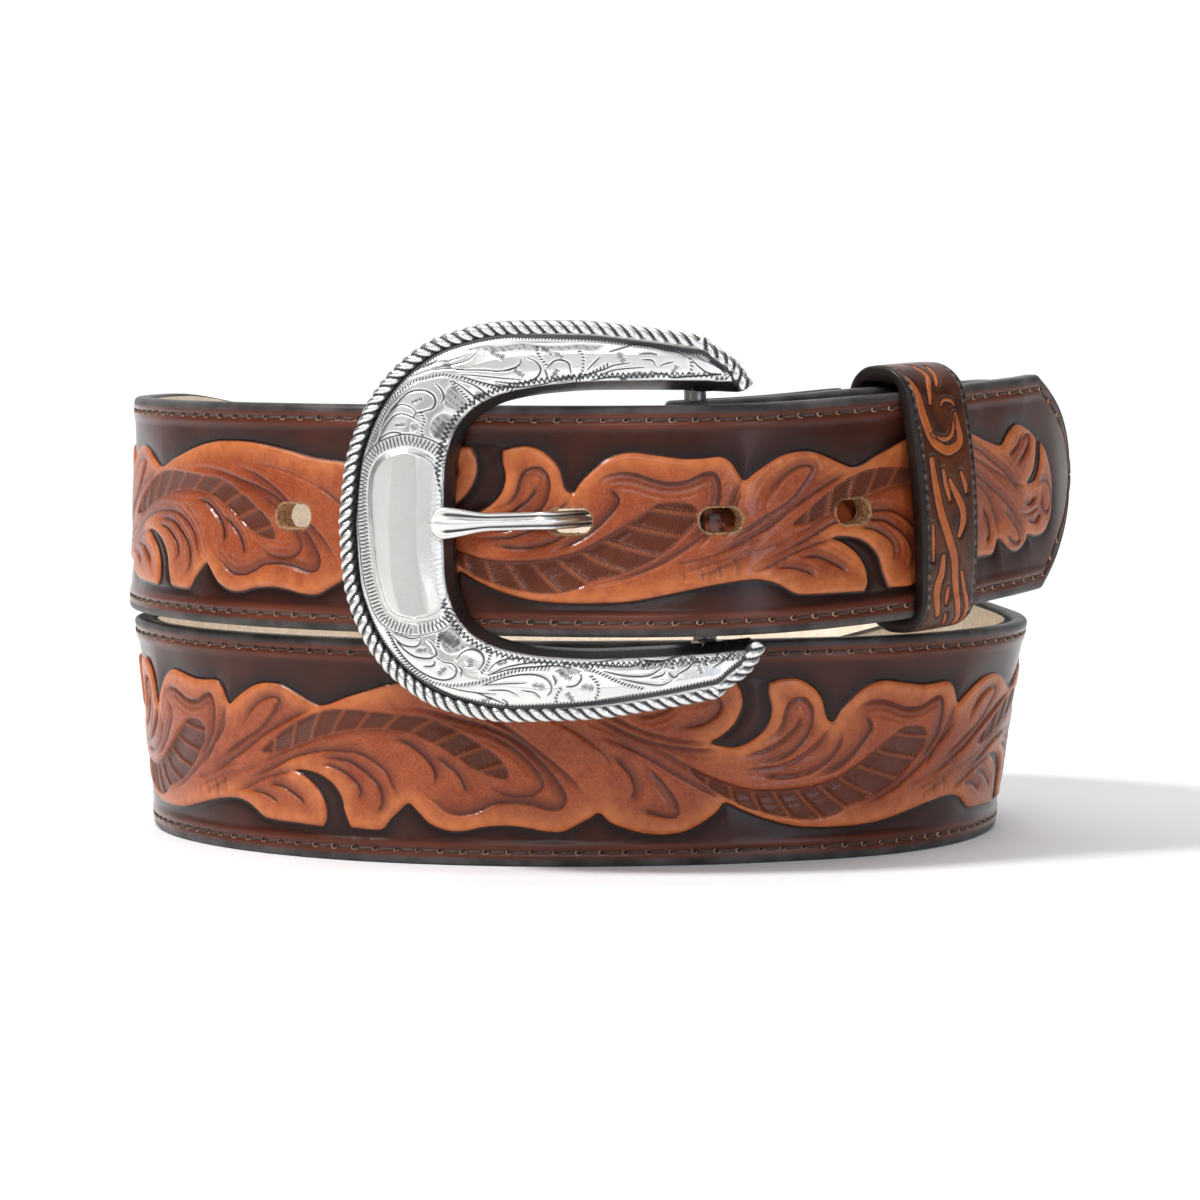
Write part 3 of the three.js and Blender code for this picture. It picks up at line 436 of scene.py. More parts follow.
# The buckle's engraving: distance along the belt from the bar, and height from the buckle's middle.
# Cut lines: weight, then the way they run
ENGRAVED_LINES = [
    (0.9, [(-50.9, 12.4), (-49.2, 13.5), (-47.3, 14), (-46.2, 14)]),
    (1, [(-51, 12.9), (-49.8, 14.2), (-48.4, 14.9), (-46.9, 14.9), (-45.6, 14.4)]),
    (1, [(-50.5, 13.6), (-49.5, 15.6), (-48, 17.5), (-46.5, 18), (-44.9, 17.5), (-43.6, 16.7)]),
    (1, [(-50.2, 15.1), (-49.1, 17.6), (-47.6, 19.2), (-46.5, 19.5), (-45.5, 19.3), (-44.5, 18.7),
        (-44.2, 18.1)]),
    (1.2, [(-49.6, 16.6), (-48.4, 18.7), (-46.9, 20.3), (-45.8, 21.3), (-44.5, 21.8), (-42.9, 21.8),
           (-41.6, 21.1), (-41.2, 20), (-41.6, 18.9), (-42.9, 18.4), (-44.2, 18.1), (-44.6, 17.5)]),
    (1, [(-41.1, 22.9), (-40.2, 21.8), (-39.9, 20.5), (-40.4, 19.6)]),
    (0.7, [(-45.4, 24), (-42.5, 25), (-39.5, 25.3), (-36.8, 25.2)]),
    (0.7, [(-44.8, 25.1), (-42, 26.3), (-40.2, 27.4)]),
    (0.7, [(-43.5, 25.4), (-41, 26.4), (-39, 26.6), (-36.6, 27.4)]),
    (0.8, [(-42, 25.4), (-38.5, 26), (-36, 26.7), (-34.5, 28.2)]),
    (0.8, [(-38, 25.1), (-34, 25), (-31, 24.8), (-28.3, 25.6)]),
    (0.8, [(-37.6, 24.4), (-34, 24), (-31, 23.6), (-28, 23.3)]),
    (1, [(-38.4, 23.3), (-36.5, 21.8), (-34.6, 20), (-33.2, 19.2), (-32, 19.6)]),
    (1, [(-37.4, 23.4), (-35, 22.4), (-32.6, 20.4), (-30.4, 19.8), (-28, 20.3)]),
    (0.9, [(-37, 24), (-33.5, 22.8), (-30.5, 22.1), (-28, 22)]),
    (0.9, [(-34.2, 19), (-35, 17.4), (-36.4, 16.6)]),
    (0.7, [(-42.6, 12.6), (-40.8, 11.6), (-39, 10.4)]),
    (0.7, [(-41.3, 12.6), (-39.4, 11.9), (-38, 12.2)]),
    (1, [(-27.1, 26.9), (-25.8, 26.2), (-25.1, 25.1), (-25.6, 23.8), (-27.1, 22.9), (-29.3, 22.7),
        (-32, 23.1)]),
    (1, [(-24.2, 25.1), (-23.1, 26.2), (-22, 26.4), (-20.9, 25.8), (-20.6, 24.2)]),
    (0.9, [(-24.5, 24.9), (-24.1, 23.6)]),
    (0.9, [(-32, 24.7), (-29.6, 25), (-28.2, 25.9), (-28, 26.7)]),
    (0.8, [(-32, 22.7), (-28.7, 22.1), (-25.3, 22.4), (-22.4, 23.2), (-20.2, 23.7)]),
    (0.9, [(-32, 20.1), (-30, 19.7), (-28.7, 20), (-27.1, 20.9)]),
    (0.9, [(-21.8, 21.1), (-19.6, 21.8), (-17.3, 22.1), (-14.7, 22.2)]),
    (0.8, [(-18.2, 24.6), (-17.1, 25.8), (-16.1, 26.8)]),
    (0.9, [(-20, 23.1), (-17.8, 24), (-15.6, 24.7), (-14.2, 25.3), (-11.6, 25.7)]),
    (0.8, [(-16.4, 23.6), (-14.7, 24.4), (-12.7, 24.7), (-9.6, 24.9)]),
    (1, [(-17.6, 22.9), (-15.6, 23.3), (-13.6, 23.4), (-12.2, 22.8)]),
    (1, [(-8.6, 24.3), (-7.8, 23.8), (-6.4, 23.7), (-5.3, 23.1), (-3.1, 23.2), (0, 23.3), (2.2, 23.4)]),
    (0.8, [(-11.3, 22.4), (-8.7, 22.4), (-6.9, 22.6)]),
    (0.9, [(-14.7, 27.6), (-12.7, 28.2), (-10.9, 28.7), (-8.7, 28.4), (-6.4, 27.6), (-4.2, 27.1),
        (-2.7, 26.2)]),
    (0.8, [(-10.2, 27.1), (-8.7, 27.2), (-7.6, 26.9)]),
    (0.8, [(-9.8, 26.2), (-8.4, 26), (-7.9, 25.1)]),
    (0.8, [(-7.2, 25), (-6.4, 25.4), (-5.1, 25.7)]),
    (0.9, [(-2.4, 26), (-0.9, 24.4), (0.4, 23.6), (1.8, 23.5)]),
    (0.9, [(0.4, 25.7), (1.8, 24.9), (2.7, 23.7)]),
    (1, [(-48.7, -17.8), (-47.6, -20), (-46.2, -22.2), (-44.4, -24), (-42.5, -25.2), (-40.7, -25.8),
         (-39.3, -25.7), (-38.4, -25.1), (-38.2, -24), (-38.9, -23.1), (-40, -22.9), (-41.1, -22.2)]),
    (0.9, [(-48.2, -18), (-46.5, -18.5), (-44.9, -19), (-43.6, -18.8)]),
    (1, [(-48, -18.5), (-46.7, -19.8), (-45.5, -20.3), (-44.2, -20.3), (-43.5, -19.6), (-43.5, -18.9)]),
    (1.1, [(-47.3, -19.6), (-45.8, -21.1), (-44.4, -22), (-42.5, -22.3), (-41.6, -22), (-41.1, -21.5),
           (-41.8, -20), (-42.5, -19.3)]),
    (1, [(-43.1, -23.5), (-42.2, -23.6), (-41.5, -23.3), (-41.4, -22.7)]),
    (1, [(-38, -23.5), (-37.4, -24.2), (-37.5, -25.1)]),
    (1.1, [(-38.2, -22.5), (-37.3, -21.3), (-35.8, -20.8), (-34.5, -21.6), (-34.2, -22.9), (-34.9, -24.2)]),
    (0.9, [(-33.6, -24.5), (-32.4, -23.1), (-30.9, -22.5), (-28, -22.4)]),
    (0.9, [(-33.6, -25.1), (-30.9, -23.8), (-27, -23.1), (-23.8, -23.2)]),
    (0.8, [(-34.5, -26.7), (-31.6, -26.5), (-28, -26.4)]),
    (0.9, [(-33.6, -27.5), (-30.9, -27.6), (-29.3, -28.4)]),
    (0.9, [(-35.6, -27.8), (-33.6, -28.7), (-31.3, -29.8)]),
    (0.9, [(-42.5, -26.4), (-40, -28), (-37.1, -29.3), (-34.5, -30.2), (-32.2, -30.6)]),
    (0.7, [(-40, -26.9), (-37.3, -27.6), (-34.6, -28), (-32.6, -28.1)]),
    (1, [(-33.5, -25.1), (-30.2, -24.1), (-26.9, -23.8), (-23.8, -23.7), (-21.6, -24.1)]),
    (1, [(-34, -26.5), (-30.4, -25.3), (-27.3, -25), (-25.4, -25.6), (-24.5, -26.8), (-24.5, -27.7),
        (-25, -28.4)]),
    (1, [(-24.2, -25.3), (-23.8, -26.3), (-23.9, -26.8)]),
    (1, [(-22.3, -27.1), (-20.9, -26.9), (-20.2, -26), (-20.2, -25.1)]),
    (0.9, [(-28.8, -27.6), (-26.9, -28), (-26.1, -28.8)]),
    (0.9, [(-31.6, -29), (-30.9, -29.6), (-31.1, -30.2)]),
    (1, [(-20, -23.4), (-16.9, -23.8), (-13.5, -24.1), (-11.9, -23.7), (-11.6, -22.7)]),
    (0.8, [(-18.8, -23.2), (-15.9, -23), (-13.5, -22.5)]),
    (0.9, [(-16.9, -24.7), (-13.8, -25.5), (-10.7, -25.6), (-8.8, -24.6), (-8, -23.4)]),
    (0.9, [(-14.5, -26), (-11.4, -26.8), (-8.8, -27.2), (-7.1, -26.5)]),
    (1.2, [(-11.1, -23.1), (-8.8, -23.4), (-6.6, -22.8), (-4.7, -22), (-2.8, -21.9), (-0.7, -21.5),
        (1.7, -20.9)]),
    (0.7, [(-10.2, -22.2), (-8, -21.9), (-5.5, -21.7)]),
    (0.9, [(-10, -26), (-8.5, -25.6), (-8, -25)]),
    (0.9, [(-7.6, -25.2), (-6.9, -26), (-6.2, -25.7)]),
    (0.9, [(-6.4, -25.6), (-4.7, -24.6), (-3.8, -23.7), (-2.8, -23.8)]),
    (0.9, [(-0.9, -23.7), (0.5, -22), (2.9, -20.9)]),
    (0.8, [(-1.1, -24.6), (1.2, -23.2), (3.6, -21.5)]),
]
# Rows of small stamped ticks: pitch, half length of a tick, and the way the row runs
STAMPED_ROWS = [
    (0.55, 0.24, [(-52.2, 11.8), (-51.3, 14.5), (-49.8, 17.8), (-48.4, 20.4), (-46.5, 22.1), (-44.7, 23.3),
                  (-42.5, 23.9), (-40, 24.3), (-37.8, 23.9)]),
    (0.55, 0.2, [(-43.6, 18.4), (-42.9, 16.8), (-43.4, 15.4), (-42.8, 13.6), (-41, 12.6), (-39, 12.8),
                 (-37.4, 14.3), (-36, 16), (-35.3, 17.6), (-35.5, 19.3), (-36.8, 21), (-38.2, 22.6),
                 (-38.9, 23.4)]),
    (0.6, 0.22, [(-37.4, 24), (-34.5, 22.9), (-32, 22), (-29.8, 21.6), (-27.6, 21.2), (-24.7, 21.2),
        (-22, 21.8),
                 (-20, 22.7), (-17.8, 24), (-14.8, 25.6)]),
    (0.55, 0.16, [(-25.6, 28.9), (-25.3, 27.1), (-24.2, 25.6)]),
    (0.55, 0.16, [(-19.3, 28), (-18.7, 26.7), (-18.9, 24.4), (-19.6, 23.3)]),
    (0.6, 0.18, [(-2.7, 26.4), (-2.4, 24.9), (-2.7, 23.3)]),
    (0.55, 0.24, [(-49.8, -15.8), (-48.4, -18.7), (-47.3, -21.1), (-45.5, -23.6), (-43.6, -25.2),
        (-41.8, -26.3),
                  (-39.5, -26.7), (-37.3, -26.6), (-34.9, -26.2), (-32.7, -25.5), (-30.2, -24.6),
                  (-28, -24.2),
                  (-24.5, -24)]),
    (0.5, 0.2, [(-40.9, -20.6), (-40.9, -19.2), (-40.2, -17.2), (-38.5, -16.2), (-36.4, -16.4),
        (-34.9, -17.8),
                (-33.8, -20), (-33.3, -21.5), (-33.8, -23.6), (-34.7, -24.9)]),
    (0.55, 0.17, [(-23, -27.2), (-23.8, -28.7), (-23.8, -29.9)]),
    (0.55, 0.17, [(-18.8, -25.3), (-17.8, -26.8), (-17.8, -28.2), (-18.3, -29.4)]),
    (0.5, 0.2, [(-22.8, -23.2), (-19.7, -23.9), (-16.9, -25.3), (-14.2, -26.8), (-11.4, -27.7)]),
    (0.55, 0.17, [(-6.7, -22.5), (-6.9, -24.6)]),
    (0.55, 0.17, [(-1.9, -22.7), (-2, -24.6)]),
]
# Patches cut back and darkened
DARK_PATCHES = [
    [(-39.6, 21.5), (-38.5, 22.6), (-37.5, 21.4), (-36.4, 19.8), (-36.5, 18.6), (-37.4, 18.1), (-38.7, 18.7),
     (-39.8, 19.3)],
    [(-41.4, 17.3), (-40, 18), (-38.6, 17.5), (-37.2, 17.4), (-36.8, 16.4), (-38, 15.6), (-38.7, 14.2),
        (-39.8, 13.4),
     (-41.2, 14), (-42.2, 15.4)],
    [(-44.9, 16.4), (-43.9, 16.3), (-43.8, 15.6), (-44.6, 14.9), (-45.1, 15.5)],
    [(-34.9, 21.6), (-33, 20.6), (-33.4, 20.1), (-35, 20.3)],
    [(-36.5, 28.3), (-34, 28.9), (-31, 28.9), (-28, 29.3), (-25.6, 28.9), (-22, 28.7), (-19.4, 28.9),
        (-17.6, 28.7),
     (-15.6, 28.6), (-17, 27.9), (-19.5, 28.1), (-22, 28), (-25, 28), (-28, 28.1), (-31, 27.8), (-33.4, 28)],
    [(-12.7, 28.9), (-9, 29), (-5, 28.2), (-1, 26.6), (2.4, 24.6), (3, 23.6), (1.6, 24.6), (-1.4, 26),
        (-5, 27.3),
     (-8.6, 28.1)],
    [(-22.6, 23.4), (-20.2, 23.9), (-20.4, 22.9), (-22.8, 22.6)],
    [(-12.2, 23.5), (-10.6, 24.2), (-9.2, 23.8), (-7.8, 23.9), (-8.5, 23.2), (-11.3, 23)],
    [(-40.5, -18.5), (-39.5, -17.3), (-37.8, -16.6), (-36.6, -17.1), (-37.6, -18.3), (-37.3, -19.6),
        (-35.5, -20.3),
     (-34.5, -21.3), (-36.4, -20.6), (-38.2, -21.5), (-39.8, -21.1), (-40.5, -20)],
    [(-23.8, -24.4), (-21.9, -23.9), (-20, -24.8), (-22.1, -25.2)],
    [(-11.4, -22.9), (-10.2, -23.6), (-8.6, -23.6), (-8.2, -23.2), (-10, -23)],
    [(-44, -27.8), (-40, -30), (-35, -31.4), (-29, -31.6), (-22, -30.8), (-15, -29.4), (-10, -28.2),
        (-15, -28.9),
     (-22, -30.2), (-29, -30.9), (-35, -30.8), (-40, -29.3)],
]
# Short hatching: middle, angle of the strokes in degrees, how many, their spacing and half length
HATCHING = [
    (-44.1, 20.2, 110, 7, 0.27, 0.45), (-46.8, 16.2, 95, 7, 0.27, 0.45), (-38, 15.7, 110, 7, 0.26, 0.5),
    (-31.6, 27.4, 60, 8, 0.28, 0.55), (-28.4, 24.4, 55, 6, 0.3, 0.55), (-23, 24.2, 150, 6, 0.28, 0.5),
    (-24, 27.9, 55, 6, 0.3, 0.5), (-22.4, 27.2, 60, 5, 0.3, 0.4), (-13, 26.6, 30, 6, 0.3, 0.6),
    (-12.6, 23.2, 120, 6, 0.24, 0.4), (-5, 24.4, 150, 5, 0.3, 0.45), (2.2, 22.6, 90, 7, 0.27, 0.3),
    (-43.4, -20.9, 95, 6, 0.28, 0.5), (-40.3, -24.3, 130, 6, 0.28, 0.5), (-39.4, -19.3, 60, 12, 0.28, 1.1),
    (-36.2, -23, 5, 5, 0.3, 0.7), (-31.5, -23.1, 110, 6, 0.26, 0.4), (-26.3, -27, 80, 6, 0.3, 0.5),
    (-22.4, -25.4, 60, 7, 0.28, 0.5), (-19.3, -27.3, 80, 6, 0.3, 0.55), (-21.8, -28.8, 30, 6, 0.28, 0.5),
    (-10.6, -23.9, 110, 6, 0.27, 0.5), (-4, -22.9, 60, 8, 0.28, 0.5), (-5.5, -22.9, 20, 5, 0.3, 0.5),
    (-3, -24.8, 15, 5, 0.3, 0.45), (1.2, -21.8, 60, 7, 0.3, 0.5), (-33.9, -29.1, 110, 6, 0.3, 0.45),
    (-40.6, 15.3, 150, 10, 0.3, 0.8), (-39.4, 25.9, 60, 5, 0.3, 0.6), (-34.4, 20.9, 110, 6, 0.28, 0.45),
]
# The plain oval on the heel: height, middle and half width, from its lower end to its upper
OVAL = np.array([
    (-16.3, -44.4, 0.4), (-15.8, -44.4, 2.6), (-14.6, -44.4, 4.2), (-12, -44.5, 5.3), (-8, -45, 5.8),
        (-2, -45.5, 6),
    (4, -45.95, 6.05), (8, -46.1, 5.6), (10.4, -46, 4.5), (11.7, -45.9, 2.9), (12.4, -45.8, 0.4),
])
OVAL_RIDGE = np.array([(-16, -41.8), (-14.2, -42), (-11.6, -42.5), (-8.5, -43.3), (-4.9, -43.8),
    (5.1, -43.9), (12, -44.2)])


def smooth_line(points, step=0.35, closed=False):
    """A flowing line through charted points, with a point every step or so."""
    p = np.asarray(points, float)
    if closed:
        p = np.vstack([p[-1:], p, p[:2]])
    else:
        p = np.vstack([2 * p[0] - p[1], p, 2 * p[-1] - p[-2]])
    pieces = []
    for a, b, c, d in zip(p[:-3], p[1:-2], p[2:-1], p[3:]):
        count = max(2, int(np.linalg.norm(c - b) / step) + 1)
        t = np.linspace(0, 1, count, endpoint=False)[:, None]
        pieces.append(0.5 * (2 * b + (c - a) * t + (2 * a - 5 * b + 4 * c - d) * t**2
                             + (3 * b - a - 3 * c + d) * t**3))
    if not closed:
        pieces.append(p[-2:-1])
    return np.vstack(pieces)


def distance_to_line(line, x, y):
    """Distance from points to a line, how far along it the nearest point is, and the side (1 is left)."""
    a, d = line[:-1], np.diff(line, axis=0)
    long2 = np.maximum((d**2).sum(1), 1e-12)
    start = np.concatenate([[0], np.cumsum(np.sqrt(long2))])
    best, along, side = np.full(x.shape, 1e9), np.zeros(x.shape), np.ones(x.shape)
    for i in range(len(a)):
        rx, ry = x - a[i, 0], y - a[i, 1]
        t = np.clip((rx * d[i, 0] + ry * d[i, 1]) / long2[i], 0, 1)
        far = (rx - t * d[i, 0]) ** 2 + (ry - t * d[i, 1]) ** 2
        near = far < best
        best = np.where(near, far, best)
        along = np.where(near, start[i] + t * np.sqrt(long2[i]), along)
        side = np.where(near, np.sign(d[i, 0] * ry - d[i, 1] * rx), side)
    return np.sqrt(best), along / start[-1], side


def inside_loop(loop, x, y):
    """Which points are within a loop."""
    within = np.zeros(x.shape, bool)
    for (ax, ay), (bx, by) in zip(loop, np.roll(loop, -1, axis=0)):
        if ay != by:
            within ^= ((ay > y) != (by > y)) & (x < ax + (y - ay) * (bx - ax) / (by - ay))
    return within


def depth_within(loop, x, y):
    """Distance from points to a loop, negative outside it."""
    far = distance_to_line(np.vstack([loop, loop[:1]]), x, y)[0]
    return np.where(inside_loop(loop, x, y), far, -far)


class Chart:
    """A flat sheet of even cells on which charted lines and patches are worked out, then read anywhere."""

    def __init__(self, x0, x1, y0, y1, cell):
        self.x = np.arange(x0, x1 + cell, cell)
        self.y = np.arange(y0, y1 + cell, cell)
        self.cell = cell
        self.layers = {}

    def layer(self, name):
        return self.layers.setdefault(name, np.zeros((len(self.y), len(self.x))))

    def window(self, points, reach):
        """The part of the sheet round some points, as a slice, and its coordinates."""
        p = np.asarray(points, float)
        low, high = p.min(0) - reach, p.max(0) + reach
        i0, i1 = np.searchsorted(self.x, [low[0], high[0]])
        j0, j1 = np.searchsorted(self.y, [low[1], high[1]])
        gx, gy = np.meshgrid(self.x[i0:i1], self.y[j0:j1])
        return (slice(j0, j1), slice(i0, i1)), gx, gy

    def deepen(self, name, where, values):
        """Keeps the larger of what is there and the new values."""
        sheet = self.layer(name)
        sheet[where] = np.maximum(sheet[where], values)

    def read(self, name, x, y):
        """Values between cells, at any points."""
        sheet = self.layer(name)
        fx = np.clip((x - self.x[0]) / self.cell, 0, len(self.x) - 1.001)
        fy = np.clip((y - self.y[0]) / self.cell, 0, len(self.y) - 1.001)
        i, j = fx.astype(int), fy.astype(int)
        tx, ty = fx - i, fy - j
        low = sheet[j, i] * (1 - tx) + sheet[j, i + 1] * tx
        high = sheet[j + 1, i] * (1 - tx) + sheet[j + 1, i + 1] * tx
        return low * (1 - ty) + high * ty


def build_mesh(name, points, quads, marks=None):
    """An object from points in millimetres and quads, with marks as colours or vectors for each point."""
    mesh = bpy.data.meshes.new(name)
    points = np.asarray(points, np.float32).reshape(-1, 3) * 0.001
    quads = np.asarray(quads, np.int32)
    mesh.vertices.add(len(points))
    mesh.vertices.foreach_set("co", points.ravel())
    mesh.loops.add(quads.size)
    mesh.loops.foreach_set("vertex_index", quads.ravel())
    mesh.polygons.add(len(quads))
    mesh.polygons.foreach_set("loop_start", np.arange(0, quads.size, quads.shape[1], dtype=np.int32))
    mesh.polygons.foreach_set("use_smooth", np.full(len(quads), True))
    mesh.update(calc_edges=True)
    mesh.validate()
    for key, values in (marks or {}).items():
        values = np.asarray(values, np.float32).reshape(len(points), -1)
        kind, field = ("FLOAT_COLOR", "color") if values.shape[1] == 4 else ("FLOAT_VECTOR", "vector")
        mesh.attributes.new(key, kind, "POINT").data.foreach_set(field, values.ravel())
    piece = bpy.data.objects.new(name, mesh)
    bpy.context.scene.collection.objects.link(piece)
    return piece


def grid_quads(rows, columns, closed=False, first=0):
    """Quads of a net of points, the last column joined to the first if closed."""
    i, j = np.meshgrid(np.arange(rows - 1), np.arange(columns if closed else columns - 1), indexing="ij")
    k = (j + 1) % columns
    return (first + np.stack([i * columns + j, i * columns + k, (i + 1) * columns + k,
                              (i + 1) * columns + j], -1)).reshape(-1, 4)


def end_cap(ring, flipped=False):
    """Quads that close a ring of points, drawn between its two halves."""
    half, back = len(ring) // 2, ring[::-1]
    cap = np.stack([ring[:half - 1], ring[1:half], back[1:half], back[:half - 1]], -1)
    return cap[:, ::-1] if flipped else cap


def tube_quads(rows, columns):
    """Quads of a closed tube with both its ends capped."""
    ring = np.arange(columns)
    return np.vstack([grid_quads(rows, columns, closed=True), end_cap(ring, flipped=True),
                      end_cap((rows - 1) * columns + ring)])


def finish_piece(piece, material, *cad_nodes, slot=None):
    """Gives a piece its material, its body and the CAD nodes that it replaces; the slot is not used."""
    piece.data.materials.append(material)
    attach(piece, "root")
    if cad_nodes:
        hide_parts(*cad_nodes)
    return piece


class Wire:
    """A socket of a material's node, with arithmetic written as Python expressions."""

    def __init__(self, finish, socket):
        self.finish, self.socket = finish, socket

    def __add__(self, other):
        return self.finish.maths("ADD", self, other)

    def __sub__(self, other):
        return self.finish.maths("SUBTRACT", self, other)

    def __rsub__(self, other):
        return self.finish.maths("SUBTRACT", other, self)

    def __mul__(self, other):
        return self.finish.maths("MULTIPLY", self, other)

    __radd__ = __add__
    __rmul__ = __mul__

    def clamped(self):
        return self.finish.maths("ADD", self, 0.0, clamp=True)

    def at_least(self, other):
        return self.finish.maths("MAXIMUM", self, other)

    def ramp(self, low, high):
        """0 below low and 1 above high, smoothly."""
        return self.finish.node(
            "ShaderNodeMapRange", {"interpolation_type": "SMOOTHSTEP"},
            {"Value": self, "From Min": low, "From Max": high, "To Min": 0.0, "To Max": 1.0})


class Finish:
    """One material's nodes, made from expressions."""

    def __init__(self, name):
        self.material = bpy.data.materials.new(name)
        self.material.use_nodes = True
        self.tree = self.material.node_tree
        self.surface = self.tree.nodes["Principled BSDF"]

    def node(self, kind, settings=None, values=None, out=0):
        made = self.tree.nodes.new(kind)
        for key, value in (settings or {}).items():
            setattr(made, key, value)
        for key, value in (values or {}).items():
            self.feed(made.inputs[key], value)
        return Wire(self, made.outputs[out])

    def feed(self, socket, value):
        if isinstance(value, Wire):
            self.tree.links.new(value.socket, socket)
        else:
            socket.default_value = value

    def maths(self, operation, *values, clamp=False):
        settings = {"operation": operation, "use_clamp": clamp}
        return self.node("ShaderNodeMath", settings, dict(enumerate(values)))

    def mix(self, share, a, b):
        """From a to b by a share; each is a wire or a colour."""
        return self.node("ShaderNodeMix", {"data_type": "RGBA"}, {0: share, 6: a, 7: b}, out=2)

    def marks(self, name):
        """The red, green, blue and alpha of a mark held by the mesh."""
        mark = self.node("ShaderNodeAttribute", {"attribute_name": name})
        split = self.node("ShaderNodeSeparateColor", {}, {0: mark})
        alpha = mark.socket.node.outputs["Alpha"]
        return [Wire(self, socket) for socket in (*split.socket.node.outputs, alpha)]

    def vector(self, name):
        return self.node("ShaderNodeAttribute", {"attribute_name": name}, out=1)

    def object_place(self):
        return self.node("ShaderNodeTexCoord", out=3)

    def noise(self, scale, detail=3.0, roughness=0.55, where=None):
        return self.node("ShaderNodeTexNoise", {}, {
            "Vector": where or self.object_place(), "Scale": scale, "Detail": detail, "Roughness": roughness})

    def cells(self, scale):
        return self.node("ShaderNodeTexVoronoi", {}, {"Vector": self.object_place(), "Scale": scale})

    def stretched(self, where, scale):
        return self.node("ShaderNodeMapping", {}, {"Vector": where, "Scale": scale})

    def bump(self, height, strength, distance, under=None):
        values = {"Height": height, "Strength": strength, "Distance": distance}
        if under:
            values["Normal"] = under
        return self.node("ShaderNodeBump", {}, values)

    def set(self, **sockets):
        for key, value in sockets.items():
            self.feed(self.surface.inputs[key.replace("_", " ")], value)
        return self.material


def colour(values):
    """A chosen colour as the four numbers of a socket."""
    return (*values[:3], 1.0)


def grey(value):
    """One value as a colour, for a roughness that is mixed."""
    return (value, value, value, 1.0)


# Sizes of the strap's dress, in millimetres
EDGE_ROUND = 1.0
BACK_ROUND = 0.35
FINE_STEP = 0.33
CLOSE_STEP = 0.29
PLAIN_STEP = 0.9
POINT_END_ROUND = 1.3
CARVING_CELL = 0.2
FULL_TOOLING_DEPTH = 0.75
PANEL_PITCH = 3.7
STITCH_GROOVE_DEPTH = 0.26
STITCH_GROOVE_SPREAD = 0.42
RUNG_PITCH = 2.9
# Fine lines that follow each cut on its pressed side: how far away, and how strong
ECHO_LINES = [(1.05, 0.66), (1.95, 0.5)]
# The wall of a hole: depth, and how far it has moved in from the hole's edge
HOLE_WALL = [(0.28, 0.04), (0.6, 0.1), (1.7, 0.13), (FACE_THICKNESS, 0.13), (STRAP_THICKNESS, 0.15)]
# Where the strap is in the photograph's sight and is made finer, as distances along it
LOW_FRONT = (302.0, 544.0)
HIGH_FRONT = (768.0, 901.0)


def repeated(points, shift):
    """Charted points moved along the strap."""
    return [(x + shift, y) for x, y in points]


def along_middle(chart, shape, reach):
    """A vein's or ladder's window, the depth inside its outline, and the ways along and beside its middle."""
    loop, middle = smooth_line(shape["outline"], 0.5, closed=True), smooth_line(shape["middle"], 0.5)
    where, x, y = chart.window(loop, reach)
    d, along, left = distance_to_line(middle, x, y)
    return where, depth_within(loop, x, y), along * running_length(middle)[-1], d * left


def carve(chart, leaves, hollows, cuts, veins=(), ladders=()):
    """Works the charted leaves, cuts, veins and ladders into a chart's layers."""
    edge = depth_within(leaves, *np.meshgrid(chart.x, chart.y))
    for hollow in hollows:
        loop = smooth_line(hollow, 0.5, closed=True)
        where, x, y = chart.window(loop, 6.0)
        edge[where] = np.minimum(edge[where], -depth_within(loop, x, y))
    chart.layers["edge"] = edge
    for side, depth, spread, points in cuts:
        line = smooth_line(points, 0.5)
        where, x, y = chart.window(line, 2.4 * spread + 1.0)
        if not x.size:
            continue
        d, along, left = distance_to_line(line, x, y)
        far_side = left * side <= 0
        strength = depth * smoothstep(along, -0.02, 0.3) * (1 - 0.75 * smoothstep(along, 0.86, 1.02))
        pressed = np.exp(-((d / (0.8 * spread)) ** 1.1)) * strength
        lost = np.exp(-((d / (0.22 if side else 0.5)) ** 2))
        chart.deepen("press", where, np.where(far_side, pressed * lost, pressed))
        chart.deepen("knife", where, np.exp(-((d / 0.24) ** 2)) * strength)
        for away, weight in ECHO_LINES:
            echo = np.exp(-(((d - away * min(spread, 1.3)) / 0.2) ** 2)) * weight * strength
            chart.deepen("knife", where, np.where(far_side & (side != 0), 0, echo))
    for vein in veins:
        where, inside, t, w = along_middle(chart, vein, 1.5)
        slant = np.radians(vein["slant"])
        row = t * np.sin(slant) - w * np.cos(slant)
        gap = np.abs((row + PANEL_PITCH / 2) % PANEL_PITCH - PANEL_PITCH / 2)
        chart.deepen("vein", where, smoothstep(inside, -0.1, 0.25))
        chart.deepen("ridge", where, np.exp(-((gap / 0.42) ** 2)) * (inside > -0.1))
        chart.layer("rib")[where] = t * np.cos(slant) + w * np.sin(slant)
        chart.layer("row")[where] = row
    for ladder in ladders:
        where, inside, t, w = along_middle(chart, ladder, 1.0)
        phase = (t + 0.16 * w**2) / RUNG_PITCH % 1
        rung = np.exp(-((np.minimum(phase, 1 - phase) * RUNG_PITCH / 0.26) ** 2)) + 0.35 * (1 - phase)
        chart.deepen("ladder", where, smoothstep(inside, -0.1, 0.3))
        chart.layer("rung")[where] = rung
    return chart


